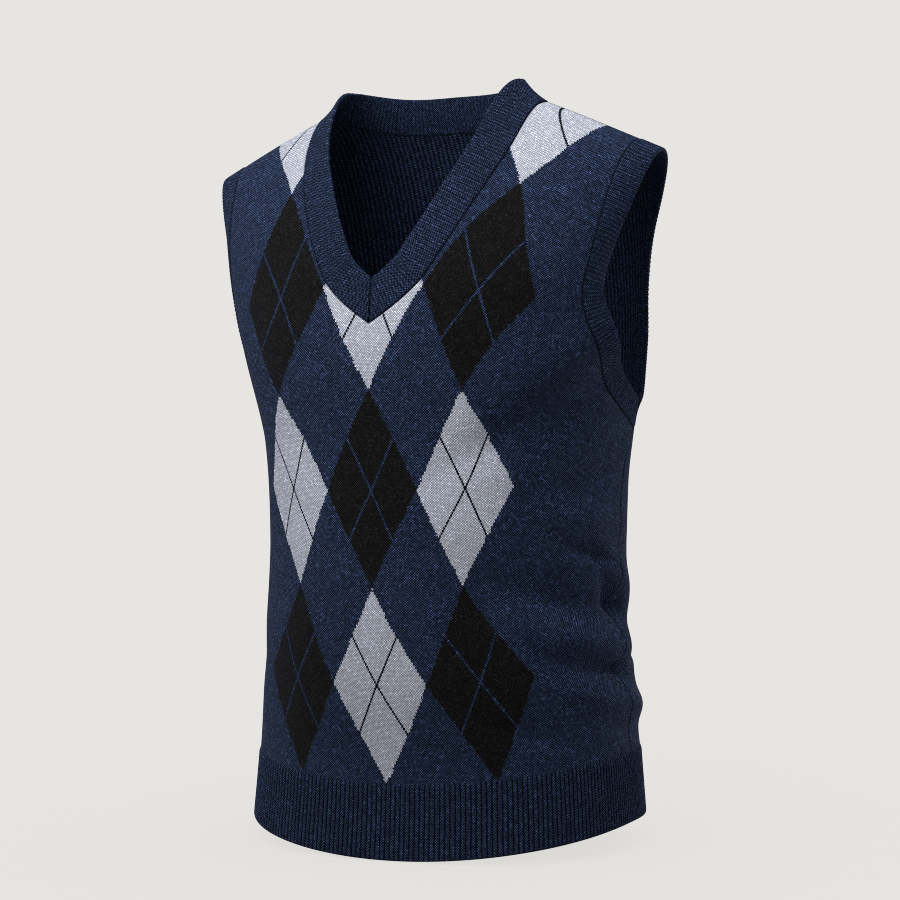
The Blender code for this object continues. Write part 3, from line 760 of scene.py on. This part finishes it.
def back_grid():
    """Angles and levels of the back panel, left side to right."""
    fractions = graded(PANEL_ROWS, (), SEAM_ROLL / PANEL_LENGTH)
    centre = centre_back(along(centre_back, fractions))
    side = chained(fractions, SIDE_SHARE, side_seam, armhole_back)
    across = graded(HALF_COLUMNS, (), SEAM_ROLL / PANEL_REACH)
    top = chained(across, BACK_NECK_SHARE, neck_back, shoulder_back)
    lines = []
    for middle, edge, end in zip(centre, side, top):
        plain = middle[:, None] + (edge - middle)[:, None] * across
        lines.append(plain + (end - plain[-1]) * fractions[:, None] ** 2)
    angles, levels = lines
    whole = np.concatenate((angles[:, ::-1], 360.0 - angles[:, 1:]), axis=1)
    return whole, np.concatenate((levels[:, ::-1], levels[:, 1:]), axis=1)


def argyle_marks(angles, levels, cloth):
    """Where each point lies in the argyle, and how that changes from stitch to stitch.

    argyle holds the diamond column, the diamond row, and the columns passed for each
    stitch across; argyle_step the columns and rows passed for each course up.
    """
    climb = 0.002

    def pattern(level):
        round_body = arc_length(angles, level, 0.0)
        right, left = read(DIAMOND_COLUMNS, level, 1), read(DIAMOND_COLUMNS, level, 2)
        spacing = np.where(round_body < 0.0, right, left)
        return round_body / spacing, read(DIAMOND_ROWS, level), spacing

    low, high = np.maximum(levels - climb, 0.0), np.minimum(levels + climb, TOP_LEVEL)
    across, row, spacing = pattern(levels)
    across_low, row_low, _ = pattern(low)
    across_high, row_high, _ = pattern(high)
    rise = height_up(high, STITCH_LINE) - height_up(low, STITCH_LINE)
    courses = rise / cloth.stitch_height
    argyle = np.stack((across, row, cloth.stitch_width / spacing), axis=-1)
    step = np.stack(((across_high - across_low) / courses, (row_high - row_low) / courses,
                     np.zeros_like(row)), axis=-1)
    return {"argyle": argyle, "argyle_step": step}


def ribbed(columns, rise):
    """Height of a rib's rounded crest at each mesh column, valleys at whole ribs."""
    share = (columns / RIB_COLUMNS) % 1.0
    return rise * (1.0 - np.abs(2.0 * share - 1.0) ** RIB_SQUARENESS)


def rounding(distance):
    """How far a cloth's face turns in at a distance from its rounded edge."""
    radius = WALL / 2
    near = np.clip(1.0 - distance / radius, 0.0, 1.0)
    return EDGE_ROUNDNESS * radius * (1.0 - np.sqrt(1.0 - near ** 2))


def edge_fade(distance, reach):
    """Share of a rib's crest that is left at a distance from a free edge."""
    return np.clip(EDGE_CREST + distance / reach, 0.0, 1.0)


def ribbed_shell(name, rise, cloth, ring, surface, facing, fade, from_seam, to_edge, up_rib):
    """A cloth of rounded ribs, rolled in at its seams and rounded at its free edge.

    The last six are grids, or rows of a grid: the points, their normals, the share of
    the ribs' rise, and the distances from a seam, from the free edge and along the ribs.
    """
    columns = np.arange(surface.shape[1])
    crest = ribbed(columns, rise) * fade
    hollow = ribbed(columns + RIB_COLUMNS // 2, rise / 2) * fade
    edge = rounding(to_edge)
    outer = surface + facing * (crest - rolled(from_seam, cloth) - edge)[..., None]
    inner = surface - facing * (WALL + hollow - edge)[..., None]
    near = np.minimum(from_seam, FAR_FROM_SEAM) * np.ones(surface.shape[:2])
    courses = up_rib / cloth.rib_course
    if ring:
        columns = np.append(columns, columns[-1] + 1)
        courses = np.concatenate((courses, courses[:, :1]), axis=1)
    place = np.stack((np.ones_like(courses) * columns / RIB_COLUMNS, courses), axis=-1)
    return knit_shell(name, outer, inner, place, {"seam_distance": near}, ring)


def hem_shell(name, start, end, lap, cloth):
    """Half of the rib hem, between two angles round the body."""
    rough = body(np.linspace(start, end, CURVE_STEPS), RIB_LEVEL / 2)
    ribs = 2 * round(travelled(rough)[-1] / RIB_PITCH / 2)
    columns = np.arange(ribs * RIB_COLUMNS + 1)
    tall = UNDERARM_Z - HEM_Z
    fractions = graded(HEM_ROWS, EDGE_ROLL / tall / RIB_LEVEL, ())
    levels, angles = np.meshgrid(fractions * RIB_LEVEL,
                                 start + (end - start) * columns / columns[-1], indexing="ij")
    surface, outward = body(angles, levels), normal(angles, levels)
    surface[..., 1] += lap
    surface[-1, :, 2] -= JOIN_GAP
    above, below = levels * tall, (RIB_LEVEL - levels) * tall
    fade = np.clip(below / HEM_FADE, 0.0, 1.0) * edge_fade(above, HEM_FADE)
    ends = np.minimum(columns, columns[-1] - columns) * RIB_PITCH / RIB_COLUMNS
    return ribbed_shell(name, RIB_RISE, cloth, False, surface, outward, fade, ends, above,
                        above)


def turned(lateral, outward, slope):
    """The direction across a band, turned out of the cloth."""
    return lateral * np.cos(slope)[:, None] + outward * np.sin(slope)[:, None]


def neighbours(points, ring, axis):
    """A vector past each point, from the one before it to the one after it."""
    if ring:
        return np.roll(points, -1, axis=axis) - np.roll(points, 1, axis=axis)
    return np.gradient(points, axis=axis)


def across_seam(points, outward, ring):
    """Unit direction in the cloth at right angles to a seam."""
    return unit(np.cross(outward, neighbours(points, ring, 0)))


def band_surface(first, lateral, outward, turn, curl, width, full_width):
    """Rows of points that grow from a seam across a band, and their distance from it."""
    middle = np.linspace(SEAM_ROLL[-1], full_width - EDGE_ROLL[-1], BAND_ROWS)[1:-1]
    edge = full_width - EDGE_ROLL[::-1]
    shares = np.concatenate(((0.0,), SEAM_ROLL, middle, edge)) / full_width
    rows = [first]
    for before, after in zip(shares, shares[1:]):
        slope = np.radians(turn) * (curl[0] + curl[1] * (before + after) / 2)
        step = (after - before) * width
        rows.append(rows[-1] + turned(lateral, outward, slope) * step[:, None])
    return np.array(rows), shares[:, None] * width


def grid_normals(points, outward, ring):
    """Unit normals of a grid of points, on the side that outward gives by column."""
    facing = unit(np.cross(neighbours(points, ring, 1), neighbours(points, False, 0)))
    return facing * np.sign(np.sum(facing * outward, axis=-1, keepdims=True))


def from_mitre(surface):
    """Distance of a neckband's points from the mitre at its two ends."""
    columns = np.arange(surface.shape[1])
    at_front = np.minimum(columns, columns[-1] - columns) < len(columns) / 4
    return np.where(at_front, np.abs(surface[..., 0]), FAR_FROM_SEAM)


def band_shell(name, surface, reach, width, outward, ring, cloth):
    """A ribbed band on its surface points: seam edge first, free edge last."""
    facing = grid_normals(surface, outward, ring)
    facing[np.abs(surface[..., 0]) < MITRE_GAP, 0] = 0.0
    to_edge = width - reach
    from_seam = reach if ring else np.minimum(reach, from_mitre(surface))
    grids = (surface, facing, edge_fade(to_edge, BAND_FADE), from_seam, to_edge, reach)
    corner = surface[0, 0]
    turn = np.cross(surface[0, 1] - corner, surface[1, 0] - corner)
    if np.dot(turn, outward[0]) < 0.0:
        grids = [grid[::-1] for grid in grids]
    return ribbed_shell(name, BAND_RISE, cloth, ring, *grids)


def neckband_shell(cloth):
    """Rib band round the neck, open at the mitre in the point of the V."""
    steps, back_steps = rib_steps(neck_front, MITRE_START), rib_steps(neck_back)[-2::-1]
    angle, level = end_to_end((neck_front, steps), (neck_back, back_steps))
    station = np.concatenate((steps, 2.0 - back_steps))
    seam, outward = body(angle, level), normal(angle, level)
    lateral = across_seam(seam, outward, False)
    lateral[-1] = unit(lateral[-1] * (0.0, 1.0, 1.0))
    turn = read(NECKBAND_TURN, station)
    first = seam - lateral * BAND_LAP
    slope = np.radians(turn) * (NECKBAND_CURL[0] + NECKBAND_CURL[1] / 2)
    inwards = -turned(lateral, outward, slope)[:, 0]
    room = (first[:, 0] - MITRE_GAP / 2) / np.maximum(inwards, 1e-6)
    at_front = station < 1.0
    width = np.where(at_front, np.minimum(NECKBAND_WIDTH, room), NECKBAND_WIDTH)
    surface, reach = band_surface(first, lateral, outward, turn, NECKBAND_CURL, width,
                                  NECKBAND_WIDTH)
    surface[:, at_front, 0] = np.maximum(surface[:, at_front, 0], MITRE_GAP / 2)
    mirror = np.array((-1.0, 1.0, 1.0))
    surface = np.concatenate((surface * mirror, surface[:, -2::-1]), axis=1)
    outward = np.concatenate((outward * mirror, outward[-2::-1]))
    reach = np.concatenate((reach, reach[:, -2::-1]), axis=1)
    width = np.concatenate((width, width[-2::-1]))
    return band_shell("neckband_knit", surface, reach, width, outward, False, cloth)


def armband_shell(name, side, cloth):
    """Closed rib band from the underarm up the front of one armhole and down its back."""
    angle, level = end_to_end((armhole_front, rib_steps(armhole_front)[:-1]),
                              (armhole_back, rib_steps(armhole_back)[:0:-1]))
    seam, outward = body(angle * side, level), normal(angle * side, level)
    lateral = across_seam(seam, outward, True) * -side
    turn = read(ARMBAND_TURN, level - 1.0)
    width = np.full(len(seam), ARMBAND_WIDTH)
    surface, reach = band_surface(seam - lateral * BAND_LAP, lateral, outward, turn,
                                  ARMBAND_CURL, width, ARMBAND_WIDTH)
    return band_shell(name, surface, reach, width, outward, True, cloth)


def link_tubes(curve, side, cloth):
    """Points of the yarn of every linking stitch along one seam, by stitch and ring."""
    count = int(length_of(curve) / cloth.link_pitch)
    angle, level = curve(along(curve, (np.arange(count) + 0.5) / count))
    seam, outward = body(angle * side, level), normal(angle * side, level)
    lateral = across_seam(seam, outward, False)
    tangent = unit(np.cross(lateral, outward))
    span = (lateral * cloth.seam_width * LINK_REACH
            + tangent * cloth.link_pitch * LINK_SLANT)
    share = np.linspace(-1.0, 1.0, LINK_RINGS)
    rise = -cloth.seam_depth * (1.0 - LINK_BOW + LINK_BOW * share ** 2)
    slope = -cloth.seam_depth * 2.0 * LINK_BOW * share
    path = (seam[:, None] + span[:, None] * share[:, None]
            + outward[:, None] * rise[:, None])
    heading = unit(span[:, None] + outward[:, None] * slope[:, None])
    beside = unit(np.cross(heading, outward[:, None]))
    above = np.cross(beside, heading)
    turn = np.linspace(0.0, 2.0 * pi, LINK_SIDES, endpoint=False)[:, None]
    skin = beside[:, :, None] * np.cos(turn) + above[:, :, None] * np.sin(turn)
    return path[:, :, None] + cloth.link_radius * skin


def linking(name, seams, cloth):
    """Short stitches of yarn across the groove of seams, given as curve and side."""
    tubes = np.concatenate([link_tubes(curve, side, cloth) for curve, side in seams])
    around = np.arange(LINK_SIDES)
    low = np.arange(LINK_RINGS - 1)[:, None] * LINK_SIDES + around
    low_next = np.roll(low, -1, axis=1)
    sides = np.stack((low, low_next, low_next + LINK_SIDES, low + LINK_SIDES), axis=-1)
    caps = [around[::-1].tolist(), (around + low[-1, 0] + LINK_SIDES).tolist()]
    faces = []
    for stitch in range(len(tubes)):
        start = stitch * LINK_RINGS * LINK_SIDES
        faces.extend([start + corner for corner in face]
                     for face in sides.reshape(-1, 4).tolist() + caps)
    mesh = bpy.data.meshes.new(name)
    mesh.from_pydata(tubes.reshape(-1, 3).tolist(), [], faces)
    mesh.shade_smooth()
    item = placed(mesh)
    item.data.materials.append(shared_finish("linking_yarn"))
    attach(item, "root")
    return item


# ---- Finishes ----

def overload(operation, reflected=False):
    """A method of Value that adds the Math node of an operation."""
    def method(self, *others):
        terms = (*others, self) if reflected else (self, *others)
        return self.finish.maths(operation, *terms)
    return method


class Value:
    """A number that varies over a surface: a socket that adds Math nodes in expressions."""

    def __init__(self, finish, socket):
        self.finish = finish
        self.socket = socket

    __add__ = __radd__ = overload("ADD")
    __sub__ = overload("SUBTRACT")
    __rsub__ = overload("SUBTRACT", reflected=True)
    __mul__ = __rmul__ = overload("MULTIPLY")
    __truediv__ = overload("DIVIDE")
    __pow__ = overload("POWER")
    __lt__ = overload("LESS_THAN")
    __gt__ = overload("GREATER_THAN")
    __abs__ = overload("ABSOLUTE")
    floor = overload("FLOOR")

    def share(self):
        """What is left over the whole number below."""
        return self - self.floor()

    def clamped(self, low=0.0, high=1.0):
        """The number, held between low and high."""
        return self.finish.node("ShaderNodeClamp", {},
                                {"Value": self, "Min": low, "Max": high})


class Finish:
    """A material in the making, and the one way in which its nodes are added."""

    def __init__(self, name, sheen=0.0):
        self.material = bpy.data.materials.new(name)
        self.material.use_nodes = True
        self.tree = self.material.node_tree
        self.shader = self.tree.nodes["Principled BSDF"]
        self.constant({"Specular IOR Level": SPECULAR, "Sheen Weight": sheen,
                       "Sheen Roughness": SHEEN_ROUGHNESS, "Sheen Tint": SHEEN_TINT})

    def constant(self, values):
        """Sets what is the same all over the surface."""
        for socket, value in values.items():
            self.shader.inputs[socket].default_value = value

    def node(self, kind, settings, inputs, output=0):
        """Adds a node with its settings, then sets or links its inputs."""
        node = self.tree.nodes.new(kind)
        for setting, value in settings.items():
            setattr(node, setting, value)
        for key, value in inputs.items():
            if isinstance(value, Value):
                self.tree.links.new(value.socket, node.inputs[key])
            else:
                node.inputs[key].default_value = value
        return Value(self, node.outputs[output])

    def maths(self, operation, *terms):
        """The outcome of a Math node."""
        return self.node("ShaderNodeMath", {"operation": operation}, dict(enumerate(terms)))

    def mix(self, share, first, second):
        """A colour between the first and the second."""
        ends = [end if isinstance(end, Value) else (*end, 1.0) for end in (first, second)]
        return self.node("ShaderNodeMix", {"data_type": "RGBA"},
                         {0: share, 6: ends[0], 7: ends[1]}, 2)

    def scaled(self, colour, share):
        """A colour made darker or lighter."""
        return self.node("ShaderNodeVectorMath", {"operation": "SCALE"},
                         {0: colour, "Scale": share})

    def parts(self, vector):
        """The three parts of a vector."""
        return [self.node("ShaderNodeSeparateXYZ", {}, {0: vector}, k) for k in range(3)]

    def joined(self, x, y, z=0.0):
        """A vector of three parts."""
        return self.node("ShaderNodeCombineXYZ", {}, {0: x, 1: y, 2: z})

    def object_place(self):
        """The point of the object itself."""
        return self.node("ShaderNodeTexCoord", {}, {}, "Object")

    def stitch_place(self):
        """Stitches counted across and courses counted up."""
        place = self.node("ShaderNodeUVMap", {"uv_map": "stitches"}, {})
        return self.parts(place)[:2]

    def mark(self, name, output="Fac"):
        """A value that the mesh keeps at its points."""
        return self.node("ShaderNodeAttribute", {"attribute_name": name}, {}, output)

    def noise(self, place, scale, detail=2.0, output="Fac"):
        """A soft random pattern."""
        return self.node("ShaderNodeTexNoise", {"noise_dimensions": "3D"},
                         {"Vector": place, "Scale": scale, "Detail": detail}, output)

    def chance(self, place):
        """A random number of its own for each whole place."""
        return self.node("ShaderNodeTexWhiteNoise", {"noise_dimensions": "3D"},
                         {"Vector": place}, "Value")

    def done(self, colour, roughness, height, relief):
        """Links colour, roughness and a height of so many metres to the shader."""
        bump = self.node("ShaderNodeBump", {},
                         {"Strength": 1.0, "Distance": relief, "Height": height})
        for key, value in (("Base Color", colour), ("Roughness", roughness), ("Normal", bump)):
            self.tree.links.new(value.socket, self.shader.inputs[key])
        return self.material


def shared_finish(name):
    """The finish of that name, made the first time that it is asked for."""
    if name in bpy.data.materials:
        return bpy.data.materials[name]
    scene = bpy.context.scene
    if name in KNITS:
        return knitting(name, scene.vest_yarns, scene.vest_cloth, **KNITS[name])
    return linking_yarn(name, scene.vest_yarns, scene.vest_cloth)


def hump(share):
    """1 in the middle of a share from 0 to 1, and 0 at both ends."""
    swing = share * 2.0 - 1.0
    return 1.0 - swing * swing


def dashes(finish, strokes, crossing):
    """Parallel strokes of yarn, beaded by those that cross them: height, and lightness with
    painted shade in the gaps.
    """
    row = strokes.floor()
    bead = hump(crossing.share())
    height = hump(strokes - row) * (1.0 - BEADING + bead * BEADING)
    dash = ((crossing + row * DASH_OFFSET) / DASH_LENGTH).floor()
    chance = finish.chance(finish.joined(row, dash))
    light = DULL_LEG + chance * LEG_SPREAD + chance ** FLECK_RARITY * FLECK
    # Painted shade: darker from each stroke's crest towards the gaps.
    return height, height ** GAP_SHADE_POWER * light


def leg_strokes(finish, across, up, chevron, patchiness):
    """Legs of plain stitches: the height of the yarn, and its lightness with painted shade in
    the gaps.

    They rise and fall by turns as far as chevron says, and patches of them lean one way.
    """
    turn = ((across * 2.0).floor() * 0.5).share() * 4.0 - 1.0
    patch = finish.noise(finish.joined(across, up), PATCH_SCALE, 1.0) - 0.5
    falling = (0.5 + turn * (0.5 * chevron) + patch * patchiness).clamped()
    rising, sinking = up - across * 2.0, up + across * 2.0
    rise = dashes(finish, rising, sinking)
    fall = dashes(finish, sinking, rising)
    return [first + (second - first) * falling for first, second in zip(rise, fall)]


def purl_bumps(finish, across, up):
    """The reverse of plain knitting, interlocking rows of small bumps, with painted shade in
    their gaps.
    """
    phase = across.share() - 0.5
    wave = up + phase * phase * PURL_WAVE
    row = wave.floor()
    height = hump(wave - row) * (PURL_HEIGHT[0] + abs(phase) * PURL_HEIGHT[1])
    chance = finish.chance(finish.joined((across * 2.0).floor(), row))
    # Painted shade: darker from each bump's crest towards the gaps.
    return height, height ** GAP_SHADE_POWER * (DULL_LEG + chance * LEG_SPREAD)


def uneven(finish, across, up):
    """Stitch places pushed about a little, as knitting is never quite even."""
    push = finish.noise(finish.joined(across, up), UNEVEN_SCALE, 1.0, "Color")
    x, y, _ = finish.parts(push)
    return across + (x - 0.5) * UNEVENNESS, up + (y - 0.5) * UNEVENNESS


def argyle(finish, yarns, across, up):
    """The argyle's colour, stepped by teeth of the knit, and where it is light."""
    column_place, row_place, column_step = finish.parts(finish.mark("argyle", "Vector"))
    column_climb, row_climb, _ = finish.parts(finish.mark("argyle_step", "Vector"))
    to_leg = ((across * TEETH).floor() + 0.5) * (1.0 / TEETH) - across
    to_course = ((up * COURSES).floor() + 0.5) * (1.0 / COURSES) - up
    line_course = up.floor() + 0.5 - up
    column_here = column_place + column_step * to_leg + column_climb * to_course
    row_here = row_place + row_climb * to_course
    nearest = (column_here + 0.5).floor()
    row = row_here.floor()
    sideways = abs(column_here - nearest) * 2.0
    upwards = abs(row_here - row - 0.5) * 2.0
    line_column = column_place + column_climb * line_course - nearest
    line_row = abs(row_place + row_climb * line_course - row - 0.5) * 2.0
    off_line = abs(line_column) * 2.0 - line_row
    inside = (sideways + upwards < 1.0) * (abs(column_here) < COLUMN_REACH)
    dark = ((abs(nearest) + row) * 0.5).share() > 0.25
    line = abs(off_line) < LINE_SHARE
    on_dark = finish.mix(line, tuple(yarns.black), tuple(yarns.line_blue))
    on_light = finish.mix(line, tuple(yarns.grey), tuple(yarns.line_dark))
    diamond = finish.mix(dark, on_light, on_dark)
    light_share = inside * (1.0 - dark) * (1.0 - line)
    return finish.mix(inside, tuple(yarns.navy), diamond), light_share


def knitting(name, yarns, cloth, purl=False, patterned=False, chevron=CHEVRON,
             valley=None):
    """A knitted finish, of plain stitches or their reverse, or of ribs, with painted shade in
    its gaps, rib valleys and seams.
    """
    finish = Finish(name, SHEEN)
    even = finish.stitch_place()
    across, up = uneven(finish, *even)
    if purl:
        height, light = purl_bumps(finish, across, up)
    else:
        patchiness = PANEL_PATCHES if valley is None else RIB_PATCHES
        height, light = leg_strokes(finish, across, up, chevron, patchiness)
    ground = tuple(yarns.navy)
    if patterned:
        ground, light_share = argyle(finish, yarns, across, up)
        # Less painted shade in the gaps of the light yarn.
        gap = light_share * LIGHT_GAP
        light = gap + light * (1.0 - gap)
    place = finish.joined(across, up)
    for scale, least, spread in (FIBRE, DRIFT):
        light = light * (least + finish.noise(place, scale) * spread)
    # Painted shade in the valleys between ribs, and painted light on their crests.
    if valley is not None:
        crest = (hump(even[0].share()) * PAINTED_RIB_SHADING[0]).clamped() ** PAINTED_RIB_SHADING[1]
        light = light * (valley + crest * (1.0 - valley))
    # Painted shade in the groove of a seam, darkest at its bottom.
    from_seam = (finish.mark("seam_distance") / cloth.seam_width).clamped()
    light = light * (PAINTED_SEAM_SHADE + from_seam * (1.0 - PAINTED_SEAM_SHADE))
    fine = height + finish.noise(place, FUZZ_SCALE, 3.0) * FUZZ
    roughness = MATT[0] - height * MATT[1]
    return finish.done(finish.scaled(ground, light), roughness, fine, cloth.stitch_relief)


def linking_yarn(name, yarns, cloth):
    """Dark plied yarn."""
    finish = Finish(name, SHEEN)
    ply = finish.noise(finish.object_place(), 1.0 / cloth.link_radius)
    dyed = finish.scaled(tuple(yarns.linking), PLY[0] + ply * PLY[1])
    roughness = PLY[2] + ply * PLY[3]
    return finish.done(dyed, roughness, ply, cloth.link_radius * PLY_RELIEF)


def studio_floor(name, studio):
    """Pale matt floor, as light as the backdrop, that takes only faint shadows."""
    finish = Finish(name)
    grain = finish.noise(finish.object_place(), FLOOR_GRAIN, 3.0)
    matt = tuple(part * (1.0 - FLOOR_GLOW) / studio.ambient for part in studio.backdrop)
    paint = finish.mix(grain, tuple(part * FLOOR_MOTTLE for part in matt), matt)
    finish.constant({"Specular IOR Level": 0.0, "Emission Strength": FLOOR_GLOW,
                     "Emission Color": (*studio.backdrop, 1.0)})
    roughness = FLOOR_MATT[0] + grain * FLOOR_MATT[1]
    return finish.done(paint, roughness, grain, FLOOR_RELIEF)


# ---- Operators ----

class VEST_OT_front_panel(Operator):
    """Knit the argyle front panel"""

    bl_idname = "vest.front_panel"
    bl_label = "Front Panel"

    def execute(self, context):
        cloth = context.scene.vest_cloth
        angles, levels, slit_row = front_grid()
        curves = (neck_front, armhole_front, shoulder_front, side_seam)
        marks = argyle_marks(angles, levels, cloth)
        piece = panel_shell("front_panel_knit", angles, levels, 0.0, SEAM_LAP, curves, cloth,
                            marks, slit_row)
        dress(piece, "front_panel", ("argyle_face", "argyle_reverse"))
        return {"FINISHED"}


class VEST_OT_back_panel(Operator):
    """Knit the plain back panel and link its shoulder and side seams"""

    bl_idname = "vest.back_panel"
    bl_label = "Back Panel"

    def execute(self, context):
        cloth = context.scene.vest_cloth
        curves = (neck_back, armhole_back, shoulder_back, side_seam)
        piece = panel_shell("back_panel_knit", *back_grid(), 180.0, -SEAM_LAP, curves, cloth)
        dress(piece, "back_panel", ("plain_face", "plain_reverse"))
        links = linking("shoulder_and_side_linking", both_sides(shoulder_back, side_seam),
                        cloth)
        return {"FINISHED"}


class VEST_OT_hem(Operator):
    """Knit the front and back rib hems and link their side seams"""

    bl_idname = "vest.hem"
    bl_label = "Rib Hem"

    def execute(self, context):
        cloth = context.scene.vest_cloth
        start, end = HEM_SEAM_ANGLE, 360.0 - HEM_SEAM_ANGLE
        links = linking("hem_linking", both_sides(hem_side), cloth)
        front = hem_shell("front_hem_knit", -start, start, SEAM_LAP, cloth)
        dress(front, "front_hem_rib", ("hem_rib", "hem_rib"))
        back = hem_shell("back_hem_knit", start, end, -SEAM_LAP, cloth)
        dress(back, "back_hem_rib", ("hem_rib", "hem_rib"))
        return {"FINISHED"}


class VEST_OT_neckband(Operator):
    """Knit the mitred neckband and link it to the neckline"""

    bl_idname = "vest.neckband"
    bl_label = "Neckband"

    def execute(self, context):
        cloth = context.scene.vest_cloth
        piece = neckband_shell(cloth)
        dress(piece, "neckband", ("band_rib", "band_rib"))
        links = linking("neck_linking", both_sides(neck_front, neck_back), cloth)
        return {"FINISHED"}


class VEST_OT_armbands(Operator):
    """Knit the two armbands and link them to the armholes"""

    bl_idname = "vest.armbands"
    bl_label = "Armbands"

    def execute(self, context):
        cloth = context.scene.vest_cloth
        for node, side in (("armband_left", 1), ("armband_right", -1)):
            piece = armband_shell(node + "_knit", side, cloth)
            dress(piece, node, ("band_rib", "band_rib"))
            seams = ((armhole_front, side), (armhole_back, side))
            links = linking(node + "_linking", seams, cloth)
        return {"FINISHED"}


class VEST_OT_studio(Operator):
    """Set up the pale floor, the soft light and the camera"""

    bl_idname = "vest.studio"
    bl_label = "Studio and Camera"

    def execute(self, context):
        scene, studio = context.scene, context.scene.vest_studio
        scene.view_settings.view_transform = "Standard"
        scene.cycles.use_denoising = False
        scene.cycles.filter_width = PIXEL_FILTER
        add_backdrop(scene, studio)
        add_floor(studio)
        for name, side, height in SOFTBOXES:
            add_softbox(name, side, height, studio)
        add_camera(scene, studio)
        return {"FINISHED"}


def add_backdrop(scene, studio):
    """A pale surround that is seen behind the vest and lights it more gently."""
    world = bpy.data.worlds.new("pale_backdrop")
    world.use_nodes = True
    tree = world.node_tree
    seen = tree.nodes["Background"]
    seen.inputs["Color"].default_value = (*studio.backdrop, 1.0)
    ambient = tree.nodes.new("ShaderNodeBackground")
    ambient.inputs["Color"].default_value = (1.0, 1.0, 1.0, 1.0)
    ambient.inputs["Strength"].default_value = studio.ambient
    path = tree.nodes.new("ShaderNodeLightPath")
    either = tree.nodes.new("ShaderNodeMixShader")
    tree.links.new(path.outputs["Is Camera Ray"], either.inputs[0])
    tree.links.new(ambient.outputs[0], either.inputs[1])
    tree.links.new(seen.outputs[0], either.inputs[2])
    tree.links.new(either.outputs[0], tree.nodes["World Output"].inputs["Surface"])
    scene.world = world


def add_floor(studio):
    """A wide floor just under the lowest point of the hem."""
    height, reach = CAD_BOX[0][2] - FLOOR_GAP, FLOOR_REACH
    corners = [(-reach, -reach, height), (reach, -reach, height),
               (reach, reach, height), (-reach, reach, height)]
    mesh = bpy.data.meshes.new("studio_floor")
    mesh.from_pydata(corners, [], [(0, 1, 2, 3)])
    floor = placed(mesh)
    floor.data.materials.append(studio_floor("floor_matt", studio))
    floor.visible_diffuse = False
    floor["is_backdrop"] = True


def add_softbox(name, side, height, studio):
    """A wide soft lamp, so many degrees to the camera's right of it and up.

    It shines on the vest alone, so that the floor keeps the backdrop's tone.
    """
    right, back, up = camera_axes(studio)
    side, height = radians(side), radians(height)
    level = right * sin(side) + back * cos(side)
    offset = (level * cos(height) + up * sin(height)) * SOFTBOX_DISTANCE
    data = bpy.data.lights.new(name + "_softbox", "AREA")
    data.size = SOFTBOX_SIZE
    data.energy = getattr(studio, name + "_power")
    lamp = placed(data)
    lamp.location = Vector(CAMERA_TARGET) + offset
    lamp.rotation_euler = offset.to_track_quat("Z", "Y").to_euler()
    lit = bpy.data.collections.new("lit_by_" + name)
    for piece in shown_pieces():
        lit.objects.link(piece)
    lamp.light_linking.receiver_collection = lit


def camera_axes(studio):
    """The camera's right, backward and upward directions, without its roll."""
    turn, lift = studio.camera_azimuth, studio.camera_elevation
    back = Vector((sin(turn) * cos(lift), -cos(turn) * cos(lift), sin(lift)))
    right = Vector((cos(turn), sin(turn), 0.0))
    return right, back, back.cross(right)


def add_camera(scene, studio):
    """The camera, which leans by its roll and looks at the middle of the vest."""
    right, back, up = camera_axes(studio)
    roll = studio.camera_roll
    across = right * cos(roll) - up * sin(roll)
    upright = right * sin(roll) + up * cos(roll)
    place = Vector(CAMERA_TARGET) + back * studio.camera_distance
    data = bpy.data.cameras.new("camera")
    data.lens, data.sensor_width = LENS, SENSOR
    data.shift_x, data.shift_y = CAMERA_SHIFT
    camera = placed(data)
    aim = Matrix((across, upright, back)).transposed().to_4x4()
    camera.matrix_world = Matrix.Translation(place) @ aim
    scene.camera = camera


OPERATORS = (VEST_OT_front_panel, VEST_OT_back_panel, VEST_OT_hem, VEST_OT_neckband,
             VEST_OT_armbands, VEST_OT_studio)


class VEST_PT_sidebar(Panel):
    """Buttons for the pieces and settings of the sweater vest"""

    bl_idname = "VEST_PT_sidebar"
    bl_label = "Sweater Vest"
    bl_space_type = "VIEW_3D"
    bl_region_type = "UI"
    bl_category = "Sweater Vest"

    def draw(self, context):
        for operator in OPERATORS:
            self.layout.operator(operator.bl_idname)
        scene = context.scene
        for settings in (scene.vest_cloth, scene.vest_yarns, scene.vest_studio):
            box = self.layout.box()
            for key in settings.__annotations__:
                box.prop(settings, key)


CLASSES = (ClothSettings, YarnSettings, StudioSettings, *OPERATORS, VEST_PT_sidebar)


def register():
    for each in CLASSES:
        bpy.utils.register_class(each)
    bpy.types.Scene.vest_cloth = PointerProperty(type=ClothSettings)
    bpy.types.Scene.vest_yarns = PointerProperty(type=YarnSettings)
    bpy.types.Scene.vest_studio = PointerProperty(type=StudioSettings)


def unregister():
    del bpy.types.Scene.vest_cloth, bpy.types.Scene.vest_yarns, bpy.types.Scene.vest_studio
    for each in reversed(CLASSES):
        bpy.utils.unregister_class(each)


def main():
    register()
    bpy.ops.vest.front_panel()
    bpy.ops.vest.back_panel()
    bpy.ops.vest.hem()
    bpy.ops.vest.neckband()
    bpy.ops.vest.armbands()
    bpy.ops.vest.studio()


if __name__ == "__main__":
    main()
